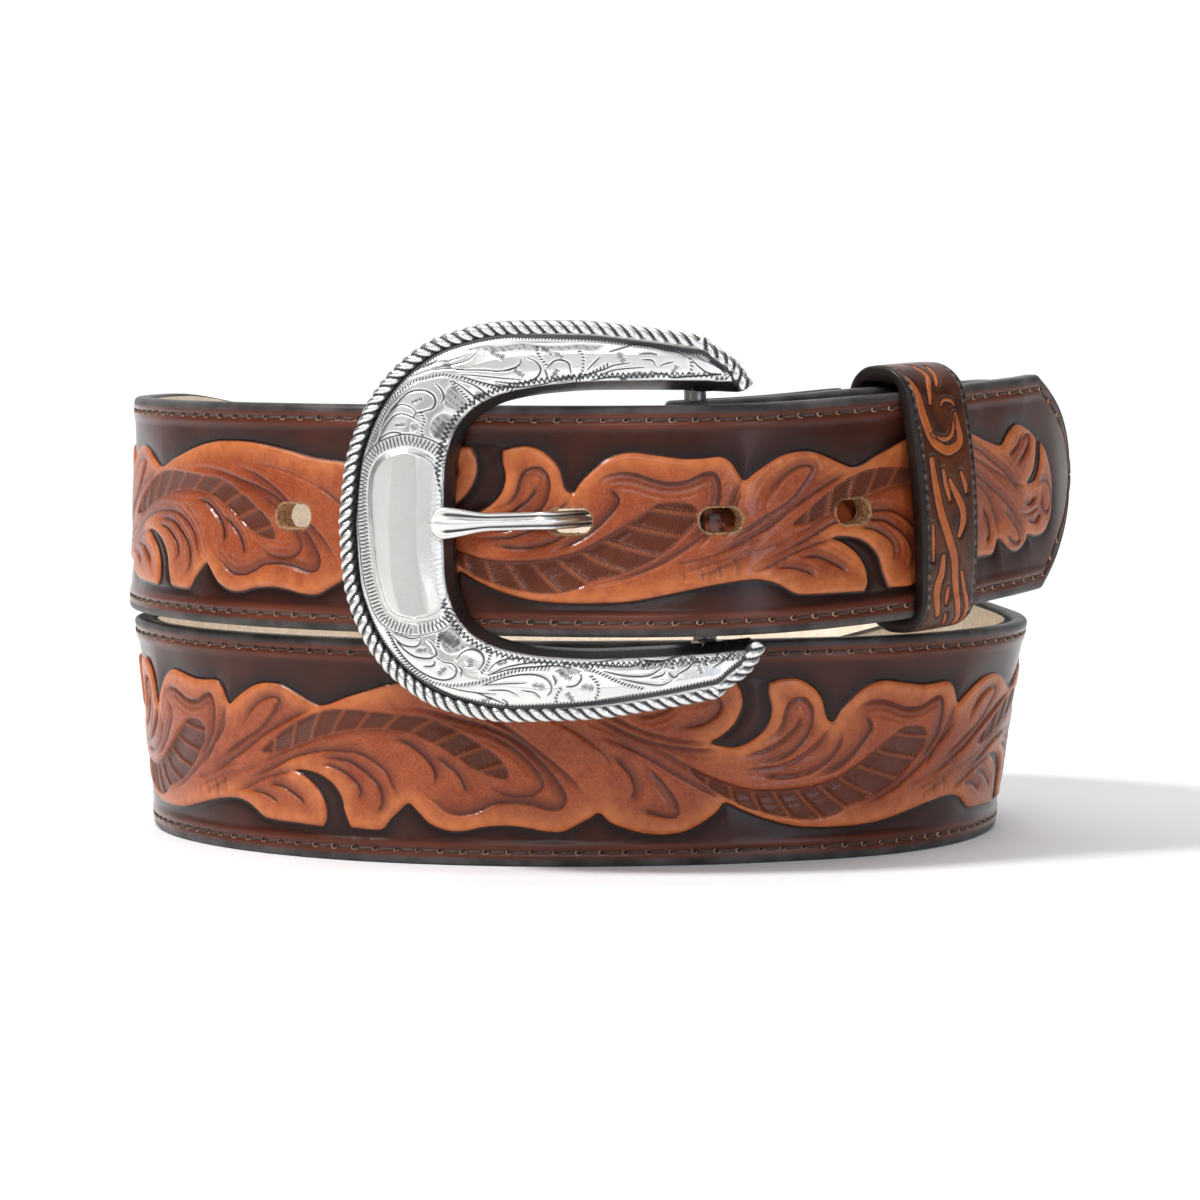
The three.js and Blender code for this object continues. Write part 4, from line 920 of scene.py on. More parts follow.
def scroll_chart():
    """One repeat of the scroll, with the ends of its neighbours so that it joins on to itself."""
    chart = Chart(SCROLL_START - 10, SCROLL_START + SCROLL_LENGTH + 10, -HALF_WIDTH, HALF_WIDTH, CARVING_CELL)
    shifts = (-SCROLL_LENGTH, 0.0, SCROLL_LENGTH)
    below, above = (smooth_line([p for shift in shifts for p in repeated(edge[:-1], shift)], 0.6)
                    for edge in (LEAF_EDGE_BELOW, LEAF_EDGE_ABOVE))
    leaves = np.vstack([below, above[::-1]])
    leaves = leaves[(leaves[:, 0] > chart.x[0] - 6) & (leaves[:, 0] < chart.x[-1] + 6)]
    hollows = [repeated(loop, shift) for shift in shifts for loop in LEAF_HOLLOWS]
    cuts = [(side, depth, spread, repeated(points, shift))
            for shift in shifts for side, depth, spread, points in CUTS]
    return carve(chart, leaves, hollows, cuts, VEINS, LADDERS)


def point_chart():
    chart = Chart(POINT_START - 4, END_ARC + 4, -HALF_WIDTH, HALF_WIDTH, CARVING_CELL)
    return carve(chart, smooth_line(POINT_SPRAY, 0.6, closed=True), POINT_HOLLOWS, POINT_CUTS)


class Tooling:
    """The carving at any place on the strap: how deep it goes and what its marks are."""

    def __init__(self, depth):
        self.scroll, self.point, self.depth = scroll_chart(), point_chart(), depth

    def at(self, name, s, h):
        charted = np.clip(s, SCROLL_FIT[0, 0], SCROLL_FIT[-1, 0])
        m = np.interp(charted, SCROLL_FIT[:, 0], SCROLL_FIT[:, 1]) + s - charted
        u = SCROLL_START + np.mod(m - SCROLL_START, SCROLL_LENGTH)
        return np.where(s < POINT_START, self.scroll.read(name, u, h), self.point.read(name, s, h))

    def carved(self, s, h):
        """The depth and the marks; the first holds the way in from a leaf's edge, quartered, plus 0.5."""
        edge = mix(-3.0, self.at("edge", s, h), smoothstep(s, -1.5, 1.5))
        leaf = smoothstep(edge, -0.16, 0.16)
        press, knife, vein, ridge, ladder = (
            self.at(name, s, h) * leaf for name in ("press", "knife", "vein", "ridge", "ladder"))
        rungs = ladder * self.at("rung", s, h)
        beside = (1 - leaf) * np.exp(-np.maximum(-edge, 0) / 2.6)
        plain = smoothstep(HALF_WIDTH - np.abs(h), 3.2, 4.6)
        low = ((1 - leaf) * 0.16 + 0.56 * beside) * plain
        rim = leaf * np.exp(-((np.maximum(edge, 0) / 0.42) ** 2)) * 0.24
        panel = vein * (0.2 + 0.28 * (1 - ridge))
        deep = low + rim + leaf * (0.44 * press + 0.2 * knife) + panel + 0.16 * rungs
        pressed = np.clip(press + 0.35 * rungs, 0, 1)
        return {
            "deep": deep * self.depth, "ridge": ridge, "beside": beside * plain,
            "tooling": np.stack([np.clip(edge / 4 + 0.5, 0, 1), pressed, vein, knife], -1),
            "margin": leaf * np.exp(-((np.maximum(edge - 0.5, 0) / 2.1) ** 2)),
            "rib": np.stack([self.at("rib", s, h), self.at("row", s, h), 0 * s], -1),
        }


def hole_edge(s, h):
    """Distance outside the nearest of the belt's holes, negative within it."""
    best = np.full(np.shape(s), 1e3)
    radius = HOLE_HEIGHT / 2
    for arc in HOLE_ARCS:
        x = np.maximum(np.abs(s - arc) - (HOLE_LENGTH / 2 - radius), 0)
        best = np.minimum(best, np.hypot(x, h) - radius)
    return best


def point_half_width(s):
    beyond = np.clip((s - END_ARC) / POINT_END_ROUND, 0, 1)
    return half_width_at(s) * np.sqrt(np.maximum(1 - beyond**2, 0.004))


def edge_profile():
    """Depth and distance in from the edge, round the strap's edge from its grain side to its back."""
    turn = np.linspace(0, np.pi / 2, 6)[1:]
    rounded = EDGE_ROUND * 0.85 * (1 - np.cos(turn))
    depth = np.concatenate([rounded, [FACE_THICKNESS - BACK_ROUND, FACE_THICKNESS]])
    inset = np.concatenate([EDGE_ROUND * (1 - np.sin(turn)), [0.0, BACK_ROUND]])
    return depth, inset


def strap_piece(name, where, s, half, step, tooling, stitch_inset, holes=False, point=False, tab=False):
    """A length of the tooled layer, as a closed sleeve of points round its section at each station."""
    count = int(STRAP_WIDTH / step) // 2 * 2 + 1
    share = np.linspace(-1, 1, count)
    edge_depth, edge_inset = edge_profile()
    back = np.array([1.0, 0.9, 0.16, 0.0, -0.16, -0.9, -1.0]) * (HALF_WIDTH - BACK_ROUND)
    n = len(s)
    squeeze = (half / HALF_WIDTH)[:, None]
    top = share[None] * (half[:, None] - EDGE_ROUND * squeeze)
    right_h = half[:, None] - edge_inset[None] * squeeze
    back_h = back[None, 1:-1] * squeeze
    h = np.concatenate([top, right_h, back_h, -right_h[:, ::-1]], 1)
    flat = np.zeros_like(top)
    rim_depth = np.broadcast_to(edge_depth, right_h.shape)
    depth = np.concatenate([flat, rim_depth, np.full_like(back_h, FACE_THICKNESS), rim_depth[:, ::-1]], 1)
    arcs = np.broadcast_to(s[:, None], top.shape)
    grain = tooling.carved(arcs, top)
    inset = half[:, None] - np.abs(top)
    groove = np.exp(-(((inset - stitch_inset) / STITCH_GROOVE_SPREAD) ** 2))
    hollow = hole_edge(arcs, top)
    rim = np.exp(-((np.maximum(hollow, 0) / 0.45) ** 2)) if holes else flat
    wave = 0.05 * np.sin(arcs * 0.21 + top * 0.3) * np.sin(arcs * 0.083 - top * 0.19)
    sunk = STITCH_GROOVE_DEPTH * groove + 0.3 * rim * (hollow < 1.2)
    depth[:, :count] = grain["deep"] * (1 - rim * 0.7) + sunk + wave
    tool = np.zeros((n, h.shape[1], 4))
    tool[:, :count] = grain["tooling"]
    skin = np.zeros_like(tool)
    skin[:, :count, 0] = smoothstep(inset, 1.7, 1.0)
    skin[:, count:, 0] = 1.0
    skin[:, count + len(edge_depth):-len(edge_depth), 0] = 0.0
    skin[:, :count, 1] = smoothstep(hollow, 0.3, 0.03) if holes else 0.0
    skin[:, :count, 2] = grain["beside"]
    skin[:, :count, 3] = grain["ridge"]
    skin[:, count + len(edge_depth):-len(edge_depth), 1] = 1.0
    ribs = np.zeros((n, h.shape[1], 3))
    ribs[:, :count] = grain["rib"]
    flow = np.stack([np.broadcast_to(s[:, None], h.shape), h, depth], -1)
    mark = np.zeros_like(tool)
    mark[:, :count, 0] = groove * 0.8
    mark[:, :count, 1] = smoothstep(inset, 4.3, 3.4)
    mark[:, :count, 2] = grain["margin"]
    around = {k: v[:, None] for k, v in where.items()}
    points = place(around, depth, h)
    columns = h.shape[1]
    quads = grid_quads(n, columns, closed=True)
    points = points.reshape(-1, 3)
    marks = {"tooling": tool.reshape(-1, 4), "skin": skin.reshape(-1, 4), "border": mark.reshape(-1, 4),
             "flow": flow.reshape(-1, 3), "ribs": ribs.reshape(-1, 3)}
    if holes:
        points, quads, marks = cut_holes(points, quads, marks, s, top, count, columns, where)
    for capped, row in ((tab, 0), (point, n - 1)):
        if capped:
            ring, middle = row * columns + np.arange(columns), len(points)
            points = np.vstack([points, points[ring].mean(0)])
            marks = {k: np.vstack([v, v[ring[-1:]]]) for k, v in marks.items()}
            a, b, c = (np.roll(ring, -k)[0::2] for k in range(3))
            fan = np.stack([np.full(len(a), middle), a, b, c], -1)
            if point:
                fan = fan[:, [0, 3, 2, 1]]
            quads = np.vstack([quads, fan])
    return build_mesh(name, points + SETTLE, quads[:, ::-1], marks)


def cut_holes(points, quads, marks, s, top, count, columns, where):
    """Takes the holes out of the grain side and its back, and lines them with a wall through both layers."""
    rows = len(s)
    arcs = np.repeat(s[:, None], columns, 1)
    heights = np.zeros_like(arcs)
    heights[:, :count] = top
    heights[:, count:] = 1e3
    edge = hole_edge(arcs, heights).ravel()
    on_grain = np.zeros((rows, columns), bool)
    on_grain[:, :count] = True
    on_grain = on_grain.ravel()
    middle_edge = edge[quads].mean(1)
    gone = (middle_edge < 0) & on_grain[quads].all(1)
    back_first = count + len(edge_profile()[0])
    column_of = quads % columns
    near_back = (column_of >= back_first + 1) & (column_of <= back_first + 3)
    station = s[quads // columns].mean(1)
    behind = np.zeros(len(quads), bool)
    for arc in HOLE_ARCS:
        behind |= near_back.all(1) & (np.abs(station - arc) < HOLE_LENGTH / 2 + 0.7)
    kept = quads[~gone & ~behind]
    lost = quads[gone]
    lost_sides = {tuple(e) for e in np.stack([lost, np.roll(lost, -1, 1)], -1).reshape(-1, 2)}
    rim = [e for e in lost_sides if (e[1], e[0]) not in lost_sides]
    corners = sorted({i for e in rim for i in e})
    number = {corner: k for k, corner in enumerate(corners)}
    index = np.array(corners)
    a, h = arcs.ravel()[index], heights.ravel()[index]
    tiny = 0.01
    off = hole_edge(a, h)
    ga = (hole_edge(a + tiny, h) - hole_edge(a - tiny, h)) / (2 * tiny)
    gh = (hole_edge(a, h + tiny) - hole_edge(a, h - tiny)) / (2 * tiny)
    a, h = a - off * ga, h - off * gh
    here = strand(turn_at(a))
    old = marks["flow"][index, 2]
    points = points.copy()
    points[index] = place(here, np.minimum(old, 0.35), h)
    new_points, new_rows = [points], [index]
    for deep, inward in HOLE_WALL:
        new_rows.append(len(np.vstack(new_points)) + np.arange(len(index)))
        ragged = 0.07 * np.sin(a * 9 + h * 7 + deep * 3) + 0.05 * np.sin(h * 17 - a * 5)
        move = inward + (ragged if deep > 0.5 else 0)
        new_points.append(place(strand(turn_at(a - move * ga)), np.full(len(a), deep), h - move * gh))
    walls = []
    for upper, lower in zip(new_rows[:-1], new_rows[1:]):
        for p, q in rim:
            i, j = number[p], number[q]
            walls.append((upper[i], upper[j], lower[j], lower[i]))
    raw = {}
    for key, values in marks.items():
        copy = np.tile(values[index], (len(HOLE_WALL), 1))
        if key == "skin":
            copy[:, 0], copy[:, 1] = 0, 1
        if key == "tooling":
            copy[:] = 0
        raw[key] = np.vstack([values, copy])
    raw["skin"][index, 1] = 1
    return np.vstack(new_points), np.vstack([kept, np.array(walls)]), raw


def fold_frames():
    """The strap folded back behind the bar, from the tab's end round to the bar."""
    closed = STRAP_THICKNESS + BOND_GAP + FACE_THICKNESS
    arcs = np.linspace(TAB_LENGTH, 0.8, 36)
    main = strand(turn_at(arcs))
    gap = mix(2 * FOLD_RADIUS, closed, smoothstep(arcs, 0, LINING_START))
    tab = {"origin": place(main, gap, np.zeros(len(arcs))), "out": -main["out"], "along": main["along"],
           "across": main["across"], "lean": main["lean"]}
    angle = np.linspace(np.pi, 0, 26)[:-1, None]
    out = BAR_FRAME["out"] * np.cos(angle) - BAR_FRAME["along"] * np.sin(angle)
    same = np.ones_like(angle)
    turned = {"origin": BAR_CENTRE + out * FOLD_RADIUS, "out": out, "along": same * BAR_FRAME["along"],
              "across": same * BAR_FRAME["across"], "lean": same * BAR_FRAME["lean"]}
    return {k: np.vstack([tab[k], turned[k]]) for k in tab}


def leather_finish(look):
    f = Finish("tooled_leather")
    leaf_edge, press, vein, knife = f.marks("tooling")
    leaf = leaf_edge.ramp(0.5 - 0.04, 0.5 + 0.04)
    edge, raw, beside, ridge = f.marks("skin")
    groove, border, margin, _ = f.marks("border")
    flow, ribs = f.vector("flow"), f.vector("ribs")
    cloud = f.noise(95.0, 3.0).ramp(0.32, 0.68)
    mottle = f.noise(420.0, 4.0, 0.6).ramp(0.3, 0.72)
    fine = f.noise(2300.0, 2.0, 0.6)
    rubbed = f.noise(38.0, 2.0).ramp(0.4, 0.66)
    leaf_colour = f.mix(cloud * 0.8, colour(look.leaf), colour(look.leaf_deep))
    leaf_colour = f.mix(mottle * 0.28, leaf_colour, colour(look.leaf_pale))
    speck = f.noise(2500.0, 2.0, 0.7).ramp(0.42, 0.6)
    leaf_colour = f.mix(speck * 0.36, leaf_colour, colour(look.shade))
    leaf_colour = f.mix(margin * (0.5 + mottle * 0.45), leaf_colour, colour(look.leaf_pale))
    shaded = press.ramp(0.1, 1.0)
    leaf_colour = f.mix(shaded * 0.9, leaf_colour, colour(look.shade))
    ground = f.mix(cloud * 0.6, colour(look.ground_red), colour(look.ground))
    ground = f.mix(beside.ramp(0.05, 0.95) * 0.94, ground, colour(look.ground_deep))
    ground = f.mix(border * (0.45 + rubbed * 0.5), ground, colour(look.border))
    body = f.mix(leaf, ground, leaf_colour)
    vein_colour = f.mix(ridge.ramp(0.25, 0.8), colour(look.vein), colour(look.vein_ridge))
    body = f.mix(vein * 0.94, body, vein_colour)
    body = f.mix(knife.ramp(0.3, 1.0) * 0.85, body, colour(look.knife))
    body = f.mix(groove.ramp(0.3, 1.0) * 0.7, body, colour(look.groove))
    edge_tone = f.mix(f.noise(150.0, 3.0).ramp(0.3, 0.7), colour(look.edge), colour(look.edge_worn))
    body = f.mix(edge, body, edge_tone)
    fibre = f.mix(f.noise(1500.0, 3.0).ramp(0.35, 0.65), colour(look.raw), colour(look.raw_dark))
    body = f.mix(raw, body, fibre)
    rough = f.mix(leaf, grey(0.17), grey(0.3))
    rough = f.mix(edge, rough, grey(0.42))
    rough = f.mix(raw, rough, grey(0.85))
    rough = f.mix(mottle * 0.3 * leaf, rough, grey(0.5))
    rib = f.node("ShaderNodeTexWave", {"wave_type": "BANDS", "bands_direction": "X", "wave_profile": "SIN"},
                 {"Vector": ribs, "Scale": 0.85, "Distortion": 1.2, "Detail": 1.0, "Detail Scale": 0.5})
    pores = f.cells(780.0)
    scratch = f.noise(6.0, 3.0, where=f.stretched(flow, (0.4, 3.2, 1.0)))
    rough_bump = f.bump(rib * vein, 0.9, 0.00022)
    grain = (pores * 0.6 + fine * 0.8) * (leaf * 0.85 + 0.15) + scratch * 0.25
    normal = f.bump(grain, 0.5, 0.00018, under=rough_bump)
    normal = f.bump(f.noise(900.0, 3.0) * raw, 1.0, 0.0005, under=normal)
    coat = (1 - raw) * (1 - edge * 0.6) * (leaf * 0.2 + 0.05)
    return f.set(Base_Color=body, Roughness=rough, Normal=normal, Coat_Weight=coat, Coat_Roughness=0.1,
                 Specular_IOR_Level=0.19)


def strap_stations(first, last, step):
    arcs = np.linspace(first, last, int(round((last - first) / step)) + 1)
    return arcs, strand(turn_at(arcs))


def build_strap(sizes, look):
    tooling = Tooling(sizes.tooling_depth / FULL_TOOLING_DEPTH)
    finish = leather_finish(look)
    ends = {"front_low": (*LOW_FRONT, FINE_STEP), "back_high": (LOW_FRONT[1], HIGH_FRONT[0], PLAIN_STEP),
            "front_high": (*HIGH_FRONT, CLOSE_STEP), "point": (HIGH_FRONT[1], END_ARC, CLOSE_STEP)}
    pieces = []
    fold = fold_frames()
    arcs, run = strap_stations(0.0, LOW_FRONT[0], PLAIN_STEP)
    where = {k: np.vstack([fold[k], run[k]]) for k in fold}
    s = np.concatenate([np.linspace(-42, -0.6, len(fold["out"])), arcs])
    pieces.append(strap_piece("strap_back_low", where, s, np.full(len(s), HALF_WIDTH), PLAIN_STEP, tooling,
                              sizes.stitch_inset, tab=True))
    for name, (first, last, step) in ends.items():
        arcs, where = strap_stations(first, last, step)
        if name == "point":
            cap = END_ARC + POINT_END_ROUND * np.sin(np.linspace(0, np.pi / 2, 9)[1:])
            arcs = np.concatenate([arcs, cap])
            where = strand(turn_at(arcs))
        pieces.append(strap_piece(f"strap_{name}", where, arcs, point_half_width(arcs), step, tooling,
                                  sizes.stitch_inset, holes=first >= HIGH_FRONT[0], point=name == "point"))
    for piece in pieces:
        finish_piece(piece, finish, "strap_face", slot="tooled_leather")
    return pieces


# Sizes of the buckle's finish, in millimetres
PLATE_CELL = 0.11
PLATE_SHEET = (-59, 9, -34.5, 34.5)
# Added to the oval's layer, so that the sheet's untouched cells are told from the oval's edge
OVAL_LIFT = 10.0
ROPE_STATIONS = 1500
ROPE_SIDES = 18
ROPE_STRANDS = 3
BAR_SIDES = 32
POST_SIDES = 24
POST_LEVELS = 12
PLATE_ROWS = 970
PLATE_COLUMNS = 82


def band_at(share):
    """Outer and inner corners of the buckle's band, from 0 at the heel to 1 at an arm's tip, and its rise."""
    knots = np.linspace(0, 1, len(BAND))
    ox, oy, ix, iy, rise = (steady_curve(share, knots, BAND[:, k]) for k in range(5))
    ox = np.where(ox < 0, ox * FRAME_REACH, ox * FRAME_TIP_REACH)
    ix = np.where(ix < 0, ix * -HEEL_INNER_EDGE, ix * FRAME_TIP_REACH)
    outer = np.stack([ox, oy * FRAME_HALF_HEIGHT], -1)
    inner = np.stack([ix, iy * (WINDOW_HALF + WINDOW_BEVEL)], -1)
    return outer, inner, rise


def whole_band(count):
    """The band from the upper arm's tip round the heel to the lower arm's, at even steps along its middle."""
    share = np.linspace(-1, 1, 4001)
    outer, inner, rise = band_at(np.abs(share))
    side = np.where(share < 0, 1.0, -1.0)
    outer[:, 1] *= side
    inner[:, 1] *= side
    middle = running_length((outer + inner) / 2)
    even = np.interp(np.linspace(0, middle[-1], count), middle, share)
    outer, inner, rise = band_at(np.abs(even))
    side = np.where(even < 0, 1.0, -1.0)
    outer[:, 1] *= side
    inner[:, 1] *= side
    return even, outer, inner, rise


def stroke(chart, layer, line, half, weight=1.0):
    where, wx, wy = chart.window(line, half * 3)
    if not wx.size:
        return
    d, along, _ = distance_to_line(line, wx, wy)
    swell = 0.45 + 0.55 * np.sin(np.pi * np.clip(along, 0.04, 0.96)) ** 0.6
    chart.deepen(layer, where, np.exp(-((d / (half * swell)) ** 2)) * min(weight, 1))


def even_points(line, pitch):
    long = running_length(line)
    at = np.arange(pitch / 2, long[-1], pitch)
    p = np.stack([np.interp(at, long, line[:, k]) for k in (0, 1)], -1)
    q = np.stack([np.interp(at + 0.05, long, line[:, k]) for k in (0, 1)], -1)
    way = unit(q - p + 1e-9)
    return p, way, np.stack([-way[:, 1], way[:, 0]], -1)


def ticks(chart, layer, line, pitch, half_length, half_width, slant=0.0):
    p, way, side = even_points(line, pitch)
    lean = side * np.cos(slant) + way * np.sin(slant)
    for middle, to in zip(p, lean):
        ends = np.array([middle - to * half_length, middle + to * half_length])
        where, wx, wy = chart.window(ends, half_width * 3)
        if wx.size:
            d = distance_to_line(ends, wx, wy)[0]
            chart.deepen(layer, where, np.exp(-((d / half_width) ** 2)))


def zigzag(line, pitch, height):
    p, way, side = even_points(line, pitch / 2)
    flip = np.where(np.arange(len(p)) % 2, 1.0, -1.0)[:, None]
    return p + side * flip * height


def oval_outline(grow):
    y = np.linspace(OVAL[0, 0], OVAL[-1, 0], 60)
    middle, half = steady_curve(y, OVAL[:, 0], OVAL[:, 1]), steady_curve(y, OVAL[:, 0], OVAL[:, 2])
    right, left = np.stack([middle + half, y], -1), np.stack([middle - half, y], -1)
    loop = np.vstack([right, left[::-1]])
    way = unit(np.roll(loop, -2, 0) - np.roll(loop, 2, 0))
    return loop + np.stack([way[:, 1], -way[:, 0]], -1) * grow


def engraving_chart():
    chart = Chart(*PLATE_SHEET, PLATE_CELL)
    plain = chart.layer("plain")
    for weight, points in ENGRAVED_LINES:
        stroke(chart, "cut", smooth_line(points, 0.4), 0.15 * weight)
    for pitch, half, points in STAMPED_ROWS:
        line = smooth_line(points, 0.4)
        ticks(chart, "cut", line, pitch, half, 0.13, 0.5)
    for points in DARK_PATCHES:
        loop = smooth_line(points, 0.4, closed=True)
        where, wx, wy = chart.window(loop, 0.6)
        chart.deepen("dark", where, smoothstep(depth_within(loop, wx, wy), -0.12, 0.2))
    for x, y, angle, count, gap, half in HATCHING:
        way = np.array([np.cos(np.radians(angle)), np.sin(np.radians(angle))])
        side = np.array([-way[1], way[0]])
        for k in range(count):
            middle = np.array([x, y]) + side * gap * (k - (count - 1) / 2)
            reach = half * (0.75 + 0.25 * np.sin(k * 2.3 + x))
            stroke(chart, "cut", np.array([middle - way * reach, middle, middle + way * reach]), 0.09)
    oval = oval_outline(0.0)
    where, wx, wy = chart.window(oval, 3.0)
    d = depth_within(oval, wx, wy)
    plain[where] = d + OVAL_LIFT
    for name in ("cut", "dark"):
        chart.layers[name][where] *= 1 - smoothstep(d, -2.6, -2.2)
    ticks(chart, "cut", oval_outline(-0.62), 0.34, 0.05, 0.1)
    ticks(chart, "cut", oval_outline(1.5), 0.62, 0.42, 0.13)
    ticks(chart, "cut", oval_outline(0.75), 0.62, 0.26, 0.12)
    stroke(chart, "cut", np.vstack([oval_outline(2.25), oval_outline(2.25)[:1]]), 0.13)
    _, outer, inner, _ = whole_band(420)
    across = unit(inner - outer)
    edge = inner - across * 0.95
    stroke(chart, "cut", zigzag(edge, 0.82, 0.42), 0.13)
    far = np.abs(outer[:, 1]) > 12.5
    for upper in (True, False):
        keep = far & ((outer[:, 1] > 0) == upper)
        border = outer[keep] + across[keep] * 3.35
        ticks(chart, "cut", border, 0.5, 0.17, 0.11, 0.4)
    return chart


def silver_finish(look):
    f = Finish("engraved_silver")
    cut, dark, groove, plain = f.marks("engraving")
    wall, worn, _, _ = f.marks("plate")
    cloud = f.noise(150.0, 3.0).ramp(0.3, 0.7)
    stipple = f.noise(2600.0, 2.0, 0.7).ramp(0.35, 0.65)
    bright = f.mix(cloud * 0.35, colour(look.silver), colour(look.silver_soft))
    hatch = f.node("ShaderNodeTexWave", {"wave_type": "BANDS", "bands_direction": "DIAGONAL"},
                   {"Vector": f.vector("sheet"), "Scale": 0.5, "Distortion": 2.5, "Detail": 1.0,
                    "Detail Scale": 0.6}).ramp(0.45, 0.8)
    matting = f.mix(stipple.at_least(hatch), colour(look.oxide), colour(look.oxide_worn))
    body = f.mix((dark * 0.8).clamped(), bright, matting)
    body = f.mix(cut.ramp(0.12, 0.75) * 0.96, body, colour(look.oxide))
    body = f.mix(groove.ramp(0.1, 0.8) * 0.95, body, colour(look.oxide))
    body = f.mix(wall * (0.9 + 0.1 * stipple), body, colour(look.wall))
    tarnish = cut.at_least(groove).at_least(dark * 0.8).clamped()
    rough = f.mix(tarnish, grey(0.27), grey(0.6))
    rough = f.mix(plain, rough, grey(0.33))
    rough = f.mix(cloud * 0.3, rough, grey(0.4))
    rough = f.mix(wall, rough, grey(0.38))
    brushed = f.noise(60.0, 2.0, where=f.stretched(f.vector("sheet"), (3.0, 0.4, 1.0)))
    bump = f.bump(brushed, 0.05, 0.00012)
    bump = f.bump(stipple, 0.12, 0.00006, under=bump)
    metal = 1 - tarnish * 0.55
    return f.set(Base_Color=body, Roughness=rough, Normal=bump, Metallic=metal)


def build_plate(finish):
    """The engraved band of the buckle with its plain oval, its sloping window wall and its back."""
    even, outer, inner, rise = whole_band(PLATE_ROWS)
    chart = engraving_chart()
    width = np.linalg.norm(inner - outer, axis=1)
    heel = 1 - smoothstep(np.abs(even), 0.15, 0.45)
    bevel = mix(WINDOW_BEVEL, HEEL_BEVEL, heel)
    across = np.concatenate([[0.0, 0.02, 0.04], np.linspace(0.07, 1.0, PLATE_COLUMNS)])
    knots = np.array([0, 0.02, 0.04, 0.1, 0.15, 0.175, 0.21, 0.36, 0.54, 0.78, 0.96, 1.0])
    heights = np.array([0.0, 0.1, 0.3, 0.46, 0.5, 0.56, 0.78, 0.94, 1.0, 0.93, 0.8, 0.74])
    level = np.interp(across, knots, heights)[None] * rise[:, None] * FRAME_THICKNESS
    p = outer[:, None] * (1 - across[None, :, None]) + inner[:, None] * across[None, :, None]
    x, y = p[..., 0], p[..., 1]
    face = smoothstep(across, 0.17, 0.22)[None] * np.ones_like(x)
    cut, dark = chart.read("cut", x, y) * face, chart.read("dark", x, y) * face
    signed = chart.read("plain", x, y) - OVAL_LIFT
    signed = np.where(signed > 1 - OVAL_LIFT, signed, -3.0)
    plain = smoothstep(signed, -0.05, 0.25)
    ridge = steady_curve(y, OVAL_RIDGE[:, 0], OVAL_RIDGE[:, 1])
    crown = np.where(x > ridge, -0.2 * (x - ridge), 0.035 * (x - ridge))
    swell = smoothstep(signed, -0.1, 0.9)
    lip = np.exp(-((signed / 0.22) ** 2))
    level = level - 0.16 * cut - 0.22 * dark + swell * (0.62 + crown) - 0.2 * lip
    groove = np.exp(-(((across[None] * width[:, None] - 2.9) / 0.5) ** 2))
    end = smoothstep(np.abs(even), 1.0, 0.985)[:, None]
    level = level * mix(0.55, 1.0, end)
    points = on_buckle(x, y, FRAME_BACK + level)
    depth = np.array([0.96, 0.85, 0.6, 0.3, 0.0])
    wall_share = 1 + (1 - depth[None]) * (bevel / width)[:, None]
    q = outer[:, None] * (1 - wall_share[..., None]) + inner[:, None] * wall_share[..., None]
    edge_level = level[:, -1:]
    wall = on_buckle(q[..., 0], q[..., 1], FRAME_BACK + edge_level * depth[None])
    back_share = np.linspace(1, 0, 5)[None] * (1 + bevel / width)[:, None]
    b = outer[:, None] * (1 - back_share[..., None]) + inner[:, None] * back_share[..., None]
    back = on_buckle(b[:, 1:-1, 0], b[:, 1:-1, 1], FRAME_BACK + 0.0)
    ring = np.concatenate([points, wall, back], 1)
    rows, columns = ring.shape[:2]
    blank = np.zeros((rows, columns, 4))
    marks, plate = blank.copy(), blank.copy()
    cut_mark, dark_mark = cut * (1 - plain * (signed > 0.9)), dark * (1 - plain)
    marks[:, :x.shape[1]] = np.stack([cut_mark, dark_mark, groove, plain], -1)
    marks[:, 0:2, 2] = 0.6
    plate[:, x.shape[1]:, 0] = 1.0
    plate[:, x.shape[1] - 2:x.shape[1], 0] = 0.5
    sheet = np.zeros((rows, columns, 3))
    sheet[:, :x.shape[1], 0], sheet[:, :x.shape[1], 1] = x, y
    quads = grid_quads(rows, columns, closed=True)
    front = np.arange(x.shape[1] + len(depth))
    quads = np.vstack([quads, end_cap(front, flipped=True), end_cap((rows - 1) * columns + front)])
    piece = build_mesh("buckle_plate", ring.reshape(-1, 3) + SETTLE, quads,
                       {"engraving": marks.reshape(-1, 4), "plate": plate.reshape(-1, 4),
                        "sheet": sheet.reshape(-1, 3)})
    return finish_piece(piece, finish, "buckle_frame", slot="engraved_silver")


